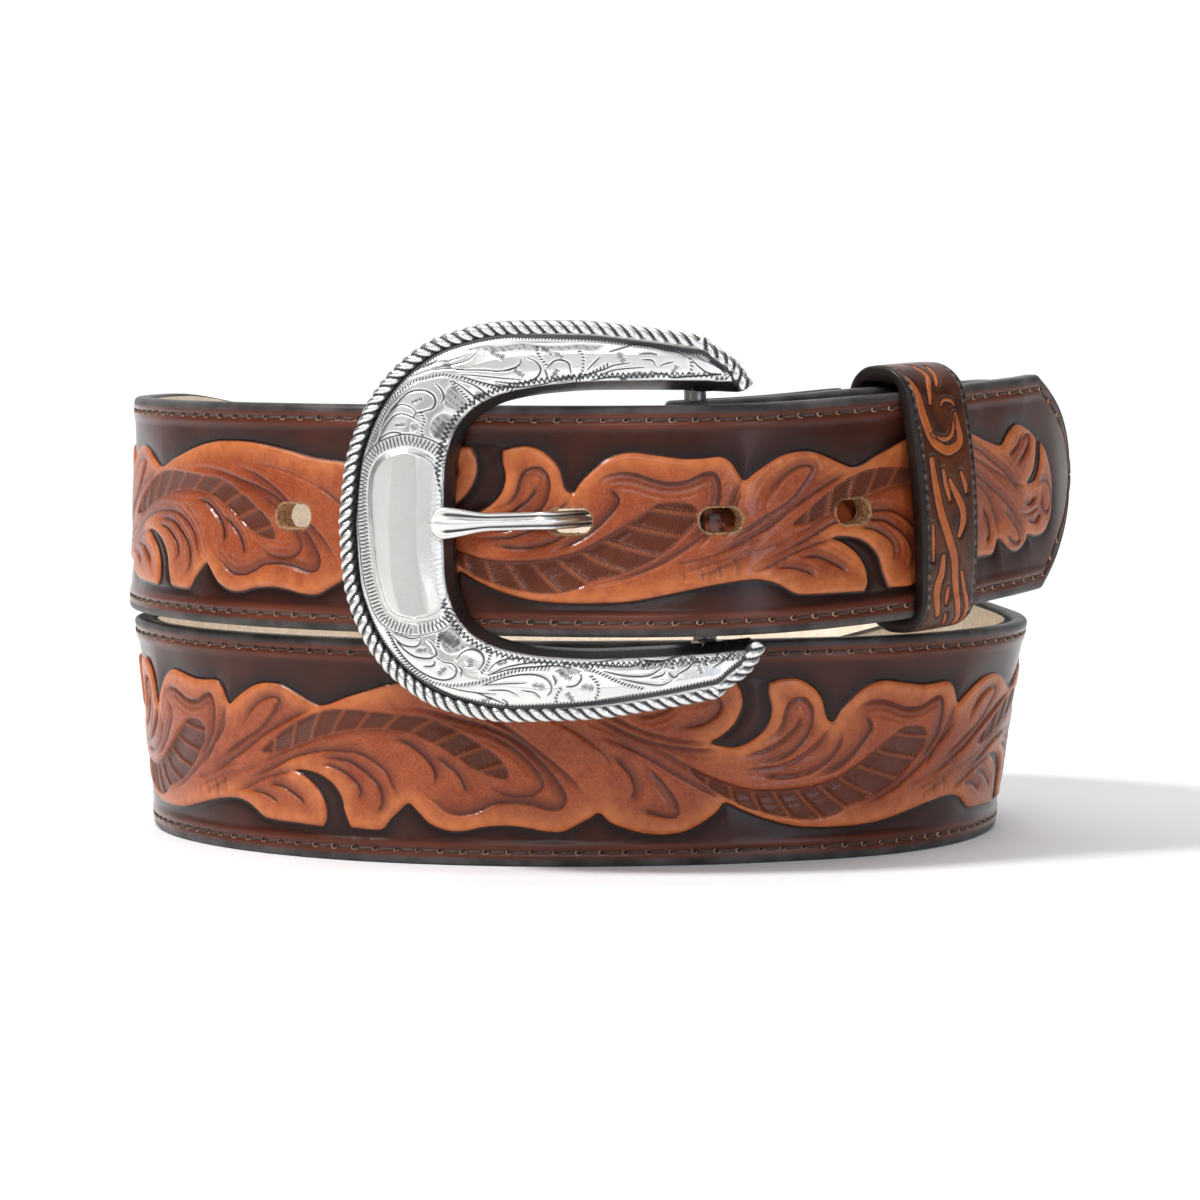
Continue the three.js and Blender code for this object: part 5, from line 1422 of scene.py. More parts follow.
def build_rope(sizes, finish):
    """The twisted wire round the buckle's outer edge: three strands wound together."""
    even, outer, inner, _ = whole_band(ROPE_STATIONS)
    way = unit(np.gradient(outer, axis=0))
    inward = np.stack([-way[:, 1], way[:, 0]], -1)
    inward *= np.sign((inward * (inner - outer)).sum(1))[:, None]
    long = running_length(outer)
    around = np.linspace(0, 2 * np.pi, ROPE_SIDES, endpoint=False)
    twist = 2 * np.pi * long / (ROPE_STRANDS * sizes.rope_pitch)
    wave = np.abs(np.cos(ROPE_STRANDS * (around[None] - twist[:, None]) / 2))
    radius = ROPE_RADIUS * (0.64 + 0.42 * wave**0.7)
    end = np.minimum(1, np.sqrt(np.clip((1 - np.abs(even)) / 0.006, 0.02, 1)))
    radius = radius * end[:, None]
    x = outer[:, None] + inward[:, None] * (ROPE_RADIUS + np.cos(around)[None] * radius)[..., None]
    z = FRAME_BACK + ROPE_SEAT + 0.5 + np.sin(around)[None] * radius
    points = on_buckle(x[..., 0], x[..., 1], z)
    dark = np.maximum(smoothstep(wave, 0.72, 0.2), smoothstep(np.cos(around), 0.5, 0.95)[None])
    marks = np.stack([dark, 0 * dark, 0 * dark, 0 * dark], -1)
    sheet = np.stack([long[:, None] + 0 * dark, around[None] + 0 * dark, 0 * dark], -1)
    rows, columns = z.shape
    plate = np.zeros((rows * columns, 4))
    piece = build_mesh("buckle_rope", points.reshape(-1, 3) + SETTLE, tube_quads(rows, columns)[:, ::-1],
                       {"engraving": marks.reshape(-1, 4), "plate": plate, "sheet": sheet.reshape(-1, 3)})
    return finish_piece(piece, finish, "buckle_frame", slot="engraved_silver")


def squarish(a):
    """Turns a circle's sine or cosine into those of a rounded square."""
    return np.sign(a) * np.abs(a) ** 0.45


def build_bar(finish):
    """The bar that the strap is folded round, and the two posts that hold it."""
    end = WINDOW_HALF + POST_HEIGHT / 2
    around = np.linspace(0, 2 * np.pi, BAR_SIDES, endpoint=False)
    y = np.concatenate([[-end - 0.25], np.linspace(-end, end, 40), [end + 0.25]])
    radius = np.full(len(y), BAR_RADIUS)
    radius[[0, -1]] = BAR_RADIUS * 0.4
    points = on_buckle(radius[:, None] * np.cos(around), y[:, None] + 0 * around,
                       BAR_OFFSET + radius[:, None] * np.sin(around)).reshape(-1, 3)
    quads = grid_quads(len(y), BAR_SIDES, closed=True)
    low, high = BAR_OFFSET - BAR_RADIUS, FRAME_BACK + 1.6
    t = np.linspace(0, 2 * np.pi, POST_SIDES, endpoint=False)
    for side in (1, -1):
        middle = side * (WINDOW_HALF + 0.2 + POST_HEIGHT / 2)
        levels = np.linspace(low, high, POST_LEVELS)
        px = POST_WIDTH / 2 * squarish(np.cos(t))
        py = middle + POST_HEIGHT / 2 * squarish(np.sin(t))
        post = on_buckle(px, py, levels[:, None]).reshape(-1, 3)
        quads = np.vstack([quads, grid_quads(POST_LEVELS, POST_SIDES, closed=True, first=len(points))])
        points = np.vstack([points, post])
    blank = np.zeros((len(points), 4))
    plate = blank.copy()
    plate[:, 0] = 0.7
    piece = build_mesh("buckle_bar", points + SETTLE, quads,
                       {"engraving": blank, "plate": plate, "sheet": points.copy()})
    return finish_piece(piece, finish, "buckle_frame", slot="engraved_silver")


def even_spine(knots, count):
    """A line through knots, spaced by the square root of their distance, at even lengths."""
    p = np.vstack([2 * knots[0] - knots[1], knots, 2 * knots[-1] - knots[-2]])
    out = []
    for a, b, c, d in zip(p[:-3], p[1:-2], p[2:-1], p[3:]):
        t0 = 0.0
        t1 = t0 + np.linalg.norm(b - a) ** 0.5
        t2 = t1 + np.linalg.norm(c - b) ** 0.5
        t3 = t2 + np.linalg.norm(d - c) ** 0.5
        t = np.linspace(t1, t2, 20, endpoint=False)[:, None]
        a1 = (t1 - t) / (t1 - t0) * a + (t - t0) / (t1 - t0) * b
        a2 = (t2 - t) / (t2 - t1) * b + (t - t1) / (t2 - t1) * c
        a3 = (t3 - t) / (t3 - t2) * c + (t - t2) / (t3 - t2) * d
        b1 = (t2 - t) / (t2 - t0) * a1 + (t - t0) / (t2 - t0) * a2
        b2 = (t3 - t) / (t3 - t1) * a2 + (t - t1) / (t3 - t1) * a3
        out.append((t2 - t) / (t2 - t1) * b1 + (t - t1) / (t2 - t1) * b2)
    line = np.vstack([*out, knots[-1:]])
    long = running_length(line)
    at = np.linspace(0, long[-1], count)
    return np.stack([np.interp(at, long, line[:, k]) for k in (0, 1)], -1)


def tongue_line():
    """The tongue's middle line, round the bar, up through its hole and over to the heel."""
    loop_radius = BAR_RADIUS + 0.3 + TONGUE_THICKNESS / 2
    angle = np.radians(np.linspace(285, 0, 30))
    loop = np.stack([loop_radius * np.sin(angle), BAR_OFFSET + loop_radius * np.cos(angle)], -1)
    half = TONGUE_THICKNESS / 2 + 0.35
    hole, climb, level = -BAR_TO_TONGUE_HOLE, HOLE_LENGTH * 0.42, 2.0

    def behind(x):
        return x, float(billet_offset(x)) - STRAP_THICKNESS - half

    def before(x):
        return x, float(billet_offset(x)) + half

    rest = FRAME_BACK + FRAME_THICKNESS * 0.8 + half
    half_way = mix(hole, HEEL_INNER_EDGE, 0.6)
    knots = np.array([
        (0, BAR_OFFSET + loop_radius), (-loop_radius * 1.5, BAR_OFFSET + loop_radius), behind(hole / 2),
        behind(hole + climb + level), behind(hole + climb),
        (hole, float(billet_offset(hole)) - STRAP_THICKNESS / 2),
        before(hole - climb), before(hole - climb - level),
        (half_way, mix(before(half_way)[1], rest, 0.6)), (HEEL_INNER_EDGE + level, rest),
        (HEEL_INNER_EDGE - 1.4, rest + 0.35),
    ])
    run = even_spine(knots, 220)[1:]
    loop_share = np.concatenate([np.ones(len(loop)), np.clip(1 - np.arange(1, 220) / 50, 0, 1)])
    return np.vstack([loop, run]), loop_share


def build_tongue(finish):
    """The buckle's tongue: a ridged prong with a rounded, wider end."""
    line, loop = tongue_line()
    way = unit(np.gradient(line, axis=0))
    to_tip = running_length(line[::-1])[::-1]
    bulb = 1 - smoothstep(to_tip, 1.8, TONGUE_BULB_LENGTH)
    blunt = np.sqrt(np.clip(1 - (1 - np.clip(to_tip / 2.3, 0, 1)) ** 2, 0.0004, 1))
    wide = mix(mix(TONGUE_WIDTH, TONGUE_TIP_WIDTH, bulb), TONGUE_LOOP_WIDTH, loop) * blunt
    thick = TONGUE_THICKNESS / 2 * mix(0.7, 1, blunt)
    share = np.linspace(0, 2 * np.pi, 44, endpoint=False)
    y = np.cos(share)
    t = np.sin(share)
    top = t > 0
    across = np.sign(y) * np.abs(y) ** 0.8 * 0.5
    rise = np.where(top, 0.1 + 0.8 * np.abs(t) ** 0.75, -0.95 * np.abs(t) ** 0.45)
    ridge = np.where(top, 0.3 * np.exp(-((across / 0.13) ** 2)), 0)
    flute = np.where(top, 0.34 * np.exp(-(((np.abs(across) - 0.27) / 0.07) ** 2)), 0)
    shaped = 1 - loop[:, None]
    profile = rise[None] + (ridge - flute)[None] * shaped
    height = profile * thick[:, None]
    x = line[:, None, 0] + way[:, None, 1] * height
    n = line[:, None, 1] - way[:, None, 0] * height
    points = on_buckle(x, across[None] * wide[:, None], n)
    rows, columns = x.shape
    marks = np.zeros((rows, columns, 4))
    marks[..., 0] = np.where(top, np.exp(-(((np.abs(across) - 0.27) / 0.06) ** 2)), 0)[None] * shaped * 0.9
    marks[..., 0] *= smoothstep(to_tip, 1.2, 2.6)[:, None]
    marks[..., 3] = 1 - marks[..., 0]
    sheet = np.stack([to_tip[:, None] + 0 * x, across[None] * 4 + 0 * x, 0 * x], -1)
    piece = build_mesh("buckle_tongue_shaped", points.reshape(-1, 3) + SETTLE, tube_quads(rows, columns),
                       {"engraving": marks.reshape(-1, 4), "plate": np.zeros((rows * columns, 4)),
                        "sheet": sheet.reshape(-1, 3)})
    return finish_piece(piece, finish, "buckle_tongue", slot="polished_silver")


# The keeper's tooling: half width of the stroke, then distance across the band and height from its middle
KEEPER_STROKES = [
    (0.85, [(0.6, 21.6), (1.4, 19.9), (2.0, 17.5), (2.3, 14.7), (3.0, 11.7), (4.1, 9.5), (6.7, 8.1),
            (9.5, 8.9), (10.2, 10.4), (9.8, 13.8)]),
    (0.36, [(3.6, 11.0), (6, 10), (7.9, 10.4), (8.8, 11.7), (9.4, 13.5)]),
    (0.3, [(6.8, 15.7), (7.2, 16.3), (8.2, 16.6), (9.7, 16.1), (9.9, 15.5)]),
    (0.5, [(5.6, 22.2), (6, 20.6), (4.9, 18.7), (4.4, 16.2)]),
    (0.35, [(8.3, 22), (7.8, 20.4), (6.8, 19.0)]),
    (0.85, [(2.8, 6.8), (3.1, 2.5), (3.9, -2.1), (5.6, -6.7), (6.9, -10.4), (7.3, -14.4), (8.4, -18.4),
            (10.3, -21.5)]),
    (0.5, [(5.2, 4.9), (5.5, 2.4), (6.1, -0.1)]),
    (0.75, [(6.5, 3), (8.2, 0), (9.2, -2.1), (9.1, -4.3), (8.1, -6.3)]),
    (0.5, [(9.4, 4.2), (10.1, 2.5), (10.3, 0.9)]),
    (0.34, [(1.9, -4), (1.9, -6.8), (1.8, -10.1)]),
    (0.75, [(4.2, -9.6), (3.8, -12.3), (2.9, -14.7), (2.8, -16.9), (3.6, -19.6)]),
    (0.45, [(5.5, -15), (5.1, -17.6)]),
    (0.5, [(8.8, -12.6), (9.9, -16), (11.2, -19), (12.2, -21.8)]),
    (0.3, [(5.6, -19.6), (7, -21.6)]),
]
KEEPER_CELL = 0.1
KEEPER_EDGE_ROUND = 0.8
KEEPER_STITCH_PITCH = 1.7
KEEPER_SOFT_CORNER = 6.6


def keeper_path(grow, corner):
    """The band's outline round the strap, with that corner radius: distance outwards and height."""
    rise = place(strand(KEEPER_TURN + FULL_TURNS), 0, 0) - place(strand(KEEPER_TURN), 0, 0)
    rise = float(np.dot(rise, strand(KEEPER_TURN)["out"]))
    x0, x1 = -(STRAP_THICKNESS + KEEPER_CLEARANCE) - grow, rise + KEEPER_CLEARANCE + grow
    y = HALF_WIDTH + KEEPER_SLACK + grow
    left, right, low, high = x0 + corner, x1 - corner, -y + corner, y - corner

    def arc(cx, cy, first, last):
        angle = np.radians(np.linspace(first, last, 14))
        return np.stack([cx + corner * np.cos(angle), cy + corner * np.sin(angle)], -1)

    t = np.linspace(0, 1, 160)[1:-1, None]
    bulge = np.array([x1 + 2 * KEEPER_BULGE, 0])
    front = (1 - t) ** 2 * np.array([x1, low]) + 2 * t * (1 - t) * bulge + t**2 * np.array([x1, high])
    back = np.linspace([x0, high], [x0, low], 40)[1:-1]
    return np.vstack([arc(right, low, -90, 0), front, arc(right, high, 0, 90), arc(left, high, 90, 180), back,
                      arc(left, low, 180, 270)])


def keeper_finish(look):
    f = Finish("keeper_leather")
    stroke, pressed, stitch, edge = f.marks("keeper")
    cloud = f.noise(180.0, 3.0).ramp(0.3, 0.7)
    mottle = f.noise(700.0, 4.0, 0.6).ramp(0.3, 0.72)
    body = f.mix(cloud, colour(look.keeper_ground), colour(look.keeper_warm))
    orange = f.mix(mottle * 0.45, colour(look.keeper_stroke), colour(look.leaf_deep))
    body = f.mix(stroke.ramp(0.25, 0.6), body, orange)
    body = f.mix(pressed.ramp(0.2, 0.9) * 0.8, body, colour(look.knife))
    body = f.mix(edge, body, f.mix(cloud * 0.5, colour(look.groove), colour(look.edge)))
    fleck = f.mix(f.noise(1300.0, 2.0).ramp(0.35, 0.6), colour(look.groove), colour(look.thread_light))
    body = f.mix(stitch, body, fleck)
    rough = f.mix(mottle * 0.5, grey(0.3), grey(0.5))
    normal = f.bump(f.cells(900.0) * 0.5 + f.noise(2300.0, 2.0), 0.3, 0.00016)
    return f.set(Base_Color=body, Roughness=rough, Normal=normal, Coat_Weight=(1 - edge) * 0.12,
                 Coat_Roughness=0.2, Specular_IOR_Level=0.25)


def build_keeper(look):
    """The tooled band round both layers of the strap."""
    chart = Chart(-1, KEEPER_WIDTH + 1, -24, 24, KEEPER_CELL)
    for half, points in KEEPER_STROKES:
        line = smooth_line(points, 0.4)
        where, wx, wy = chart.window(line, half + 1.2)
        d, along, _ = distance_to_line(line, wx, wy)
        reach = half * (0.35 + 0.65 * np.sin(np.pi * np.clip(along, 0.05, 0.95)) ** 0.5)
        chart.deepen("stroke", where, smoothstep(d - reach, 0.1, -0.15))
        chart.deepen("pressed", where, np.exp(-(((d - reach - 0.16) / 0.22) ** 2)))
    outer, inner = keeper_path(KEEPER_THICKNESS, KEEPER_SOFT_CORNER), keeper_path(0.0, KEEPER_CORNER)
    long = running_length(np.vstack([outer, outer[:1]]))
    loop, hole = np.vstack([outer, outer[:1]]), np.vstack([inner, inner[:1]])
    front = loop[:, 0] > 0
    weight = np.where(front, 1.0, 0.3)
    steps = np.concatenate([[0], np.cumsum(np.diff(long) * (weight[1:] + weight[:-1]) / 2)])
    at = np.interp(np.linspace(0, steps[-1], 300, endpoint=False), steps, long)
    outer, inner = (np.stack([np.interp(at, long, path[:, k]) for k in (0, 1)], -1) for path in (loop, hole))
    across = np.linspace(KEEPER_EDGE_ROUND, KEEPER_WIDTH - KEEPER_EDGE_ROUND, 60)
    turn = np.linspace(0, np.pi / 2, 5)[1:]
    e = KEEPER_EDGE_ROUND
    right_u, right_d = KEEPER_WIDTH - e + e * np.sin(turn), e * (1 - np.cos(turn))
    behind = [KEEPER_WIDTH, KEEPER_WIDTH - 1, KEEPER_WIDTH / 2, 1, 0]
    u = np.concatenate([across, right_u, behind, KEEPER_WIDTH - right_u[::-1]])
    d = np.concatenate([0 * across, right_d, [KEEPER_THICKNESS] * len(behind), right_d[::-1]])
    d[len(across) + 4] -= 0.25
    share = np.clip(d / KEEPER_THICKNESS, 0, 1)
    way = unit(outer - inner)
    spread = np.broadcast_to(u, (len(outer), len(u)))
    height = np.broadcast_to(outer[:, 1:], spread.shape)
    on_front = smoothstep(outer[:, 0], 0.0, 2.0)[:, None] * (d == 0)[None]
    stroke = chart.read("stroke", spread, height) * on_front
    pressed = chart.read("pressed", spread, height) * on_front
    inset = np.minimum(spread, KEEPER_WIDTH - spread)
    groove = np.exp(-(((inset - 1.05) / 0.3) ** 2)) * (d == 0)
    drop = 0.28 * pressed - 0.1 * stroke + 0.22 * groove
    path = outer[:, None] * (1 - share[None, :, None]) + inner[:, None] * share[None, :, None]
    path = path - way[:, None] * drop[..., None]
    centre = float(arc_at(KEEPER_TURN))
    here = strand(turn_at(centre + u - KEEPER_WIDTH / 2))
    points = place({k: v[None] for k, v in here.items()}, -path[..., 0], path[..., 1])
    dash = 0.5 + 0.5 * np.cos(2 * np.pi * at / KEEPER_STITCH_PITCH)[:, None]
    flecks = groove * smoothstep(dash, 0.25, 0.7)
    edge = np.clip(smoothstep(inset, 1.5, 1.05) * (1 - flecks) + (d > 0) * (1 - flecks), 0, 1)
    marks = np.stack([stroke, pressed, flecks, edge], -1)
    rows, columns = spread.shape
    quads = grid_quads(rows, columns, closed=True)
    last = (rows - 1) * columns + np.arange(columns)
    first = np.arange(columns)
    quads = np.vstack([quads, np.stack([last, np.roll(last, -1), np.roll(first, -1), first], -1)])
    piece = build_mesh("keeper_tooled", points.reshape(-1, 3) + SETTLE, quads,
                       {"keeper": marks.reshape(-1, 4)})
    return finish_piece(piece, keeper_finish(look), "keeper", slot="keeper_leather")


def thread_finish(look):
    f = Finish("stitching")
    twist = f.noise(900.0, 3.0).ramp(0.3, 0.7)
    body = f.mix(twist, colour(look.thread), colour(look.thread_worn))
    rough = f.mix(twist, grey(0.5), grey(0.75))
    return f.set(Base_Color=body, Roughness=rough, Normal=f.bump(f.noise(3000.0, 2.0), 0.5, 0.0001))


def sewing_line(sizes, side, shift):
    """Evenly spaced places along one edge of the strap, and the height of its stitches anywhere along it."""
    middle = (np.arange(int((END_ARC - 2) / sizes.stitch_pitch)) + shift) * sizes.stitch_pitch

    def height_at(s):
        return side * (half_width_at(s) - sizes.stitch_inset)

    return middle, height_at


def build_stitches(sizes, look):
    """A row of stitches near each edge of the strap, sunk in its groove and following the point."""
    along = np.linspace(-0.5, 0.5, 8)
    around = np.linspace(0, 2 * np.pi, 7, endpoint=False)
    fat = sizes.thread_width / 2 * np.clip(1 - (2 * along) ** 2, 0.05, 1) ** 0.35
    sink = 0.2 + 0.3 * np.abs(2 * along) ** 4
    points, quads, first = [], [], 0
    for side in (1, -1):
        middle, height_at = sewing_line(sizes, side, 0.5)
        s = middle[:, None] + along[None] * sizes.stitch_pitch * 0.74
        height = height_at(s)[..., None] + (np.cos(around) * fat[:, None] + 0.12 * along[:, None])[None]
        depth = np.broadcast_to(sink[:, None] - np.sin(around) * fat[:, None] * 0.7, height.shape)
        here = {k: v[:, :, None] for k, v in strand(turn_at(s)).items()}
        points.append(place(here, depth, height).reshape(-1, 3))
        each = grid_quads(len(along), len(around), closed=True)
        quads += [each + first + k * len(along) * len(around) for k in range(len(middle))]
        first += len(points[-1])
    piece = build_mesh("stitches", np.vstack(points) + SETTLE, np.vstack(quads)[:, ::-1])
    return finish_piece(piece, thread_finish(look))


def pierced_finish(look):
    f = Finish("pierced_holes")
    painted_hole_shade, raw_lip_and_painted_highlight, _, _ = f.marks("pierced")
    fibre = f.noise(1800.0, 3.0).ramp(0.3, 0.7)
    rim = f.mix(fibre, colour(look.raw), colour(look.raw_dark))
    # The lip is raw leather, and it is brightest on its lower left side as a painted highlight
    body = f.mix((raw_lip_and_painted_highlight * 1.6).ramp(0.1, 1.0), colour(look.groove), rim)
    # Painted shade: the middle of each hole is coloured near-black in place of the shade down the hole
    body = f.mix(painted_hole_shade, body, colour(look.hole))
    rough = f.mix(fibre, grey(0.6), grey(0.8))
    return f.set(Base_Color=body, Roughness=rough, Normal=f.bump(fibre, 0.4, 0.0001))


def build_pierced_holes(sizes, look):
    """The awl's holes between the stitches, each a shallow dish whose middle is painted near-black as painted
    shade for the hole, with a torn lip of raw light-brown leather that is brightest on its lower left as a
    painted highlight.
    """
    around = np.linspace(0, 2 * np.pi, 12, endpoint=False)
    radii = np.array([0.76, 0.66, 0.54, 0.42, 0.12])
    depths = np.array([0.3, 0.0, -0.04, 0.08, 0.16])
    points, quads, marks, first = [], [], [], 0
    # The lip's brightness peaks on the lower left: a painted highlight on the rim of each hole
    lip = 0.5 + 0.5 * np.cos(around - np.radians(235))
    for side in (1, -1):
        middle, height_at = sewing_line(sizes, side, 0.0)
        tilt = 0.25 * np.sin(middle * 1.7)[:, None, None]
        reach = (0.85 + 0.12 * np.sin(middle * 2.9))[:, None, None] * radii[None, :, None]
        x, y = reach * np.cos(around) * 0.95, reach * np.sin(around) * 0.72
        s = middle[:, None, None] + x * np.cos(tilt) - y * np.sin(tilt)
        height = height_at(middle)[:, None, None] + x * np.sin(tilt) + y * np.cos(tilt)
        depth = np.broadcast_to(depths[None, :, None], s.shape)
        points.append(place(strand(turn_at(s)), depth, height).reshape(-1, 3))
        # Painted shade: marks the hole's middle, which is coloured near-black in place of the shade inside it
        painted_hole_shade = smoothstep(radii, 0.56, 0.44)[:, None] + 0 * around
        # Raw leather on the lip, strongest on the lower left as a painted highlight
        raw_lip_and_painted_highlight = lip * (1 - painted_hole_shade)
        one = np.stack([painted_hole_shade, raw_lip_and_painted_highlight, 0 * painted_hole_shade, 0 * painted_hole_shade], -1).reshape(-1, 4)
        marks.append(np.tile(one, (len(middle), 1)))
        each = grid_quads(len(radii), len(around), closed=True)
        inner = (len(radii) - 1) * len(around) + np.arange(len(around))
        each = np.vstack([each, end_cap(inner)])
        quads += [each + first + k * len(radii) * len(around) for k in range(len(middle))]
        first += len(points[-1])
    piece = build_mesh("pierced_holes", np.vstack(points) + SETTLE, np.vstack(quads),
                       {"pierced": np.vstack(marks)})
    return finish_piece(piece, pierced_finish(look))


def suede_finish(look):
    f = Finish("suede")
    nap = f.noise(700.0, 4.0, 0.65).ramp(0.3, 0.7)
    cloud = f.noise(60.0, 3.0).ramp(0.35, 0.68)
    body = f.mix(cloud * 0.6, colour(look.lining), colour(look.lining_dark))
    body = f.mix(nap * 0.22, body, colour(look.raw_dark))
    facing = f.node("ShaderNodeTexCoord", out=1)
    rise = f.node("ShaderNodeSeparateXYZ", {}, {"Vector": facing}, out=2)
    burnished = f.maths("ABSOLUTE", rise).ramp(0.6, 0.85)
    body = f.mix(burnished, body, colour(look.edge))
    rough = f.mix(nap, grey(0.82), grey(0.95))
    return f.set(Base_Color=body, Roughness=rough, Normal=f.bump(nap, 0.5, 0.0003))


def build_lining(look):
    """The suede lining keeps its own shape and takes its finish."""
    lining = frame["nodes"]["strap_lining"]
    lining.data.materials.clear()
    lining.data.materials.append(suede_finish(look))
    return lining


# The studio, in metres and radians
CAMERA_SPOT = (0.00035, -0.79203, 0.095)
CAMERA_TILT = 0.0682
CAMERA_SENSOR = 36.0
LIGHT_AIM = np.array([0.0, 0.0, 0.04])
BACK_LIGHT_AIM = np.array([0.0, 1.2, 0.3])
RIGHT_LIGHT_TINT = (0.78, 0.87, 1.0)


def build_studio(studio):
    """A pale floor that sweeps up behind, soft lights, and the camera at the photograph's angle."""
    reach, bend_at, bend = 5.0, 0.75, 0.6
    angle = np.linspace(0, np.pi / 2, 24)
    curve = np.stack([bend_at + bend * np.sin(angle), bend * (1 - np.cos(angle))], -1)
    line = np.vstack([[(-6.0, 0.0)], curve, [(bend_at + bend, 3.0)]])
    across, (ahead, rise) = np.linspace(-reach, reach, 9), line.T[..., None]
    points = np.stack(np.broadcast_arrays(across, ahead, rise), -1)
    sweep = build_mesh("floor_sweep", points.reshape(-1, 3) * 1000, grid_quads(len(line), len(across)))
    f = Finish("floor_white")
    pale = f.mix(f.noise(3.0, 2.0).ramp(0.3, 0.7), grey(0.93), grey(0.95))
    rough = f.noise(20.0, 2.0).ramp(0.3, 0.7) * 0.1 + 0.6
    sweep.data.materials.append(f.set(Base_Color=pale, Roughness=rough))
    made = [sweep]
    lights = [
        ("key_light", (-0.73, -0.33, 1.03), (0.22, 0.22), studio.key_power),
        ("front_light", (-0.12, -1.32, 0.7), (0.9, 0.4), studio.front_power),
        ("left_light", (-1.0, -0.78, 0.26), (0.75, 0.75), studio.left_power),
        ("right_light", (0.82, -0.98, 0.3), (0.26, 0.9), studio.right_power),
        ("top_light", (0.1, -0.05, 1.2), (1.0, 0.8), studio.top_power),
        ("back_light", (0.0, 0.35, 1.5), (2.6, 0.6), studio.back_power),
    ]
    for name, spot, size, power in lights:
        lamp = bpy.data.lights.new(name, "AREA")
        lamp.shape = "RECTANGLE"
        lamp.size, lamp.size_y = size
        lamp.energy = power
        lamp.color = RIGHT_LIGHT_TINT if name == "right_light" else (1.0, 1.0, 1.0)
        made.append(bpy.data.objects.new(name, lamp))
        made[-1].location = spot
        to = unit((BACK_LIGHT_AIM if name == "back_light" else LIGHT_AIM) - np.array(spot))
        made[-1].rotation_euler = (float(np.arccos(-to[2])), 0.0, float(np.arctan2(to[1], to[0]) - np.pi / 2))
        bpy.context.scene.collection.objects.link(made[-1])
    camera_data = bpy.data.cameras.new("camera")
    camera_data.lens = studio.lens
    camera_data.sensor_width = CAMERA_SENSOR
    camera_data.clip_start = 0.05
    camera = bpy.data.objects.new("camera", camera_data)
    camera.location = CAMERA_SPOT
    camera.rotation_euler = (np.pi / 2 - CAMERA_TILT, 0.0, 0.0)
    bpy.context.scene.collection.objects.link(camera)
    bpy.context.scene.camera = camera
    made.append(camera)
    world = bpy.data.worlds.new("studio_air")
    world.use_nodes = True
    air = world.node_tree.nodes["Background"]
    air.inputs[0].default_value = (1, 1, 1, 1)
    air.inputs[1].default_value = studio.air
    bpy.context.scene.world = world
    bpy.context.scene.view_settings.view_transform = "Standard"
    return made


def tint(name, values, description):
    return bpy.props.FloatVectorProperty(name=name, description=description, default=values, subtype="COLOR",
                                         size=3, min=0.0, max=1.0)


def length(name, millimetres, description):
    return bpy.props.FloatProperty(name=name, description=description, default=millimetres, unit="NONE",
                                   min=0.0)


def power(name, watts, description):
    return bpy.props.FloatProperty(name=name, description=description, default=watts, unit="POWER", min=0.0)


class BeltSizes(bpy.types.PropertyGroup):
    """Sizes of the belt's dress, in millimetres."""

    tooling_depth: length("Tooling depth", FULL_TOOLING_DEPTH, "How deep the ground is beaten down, in mm")
    stitch_inset: length("Stitch inset", 2.4, "From the strap's edge to its row of stitches, in mm")
    stitch_pitch: length("Stitch pitch", 3.95, "From one stitch to the next, in mm")
    thread_width: length("Thread width", 0.5, "Width of the thread, in mm")
    rope_pitch: length("Rope pitch", 1.9, "From one twist of the wire rim to the next, in mm")


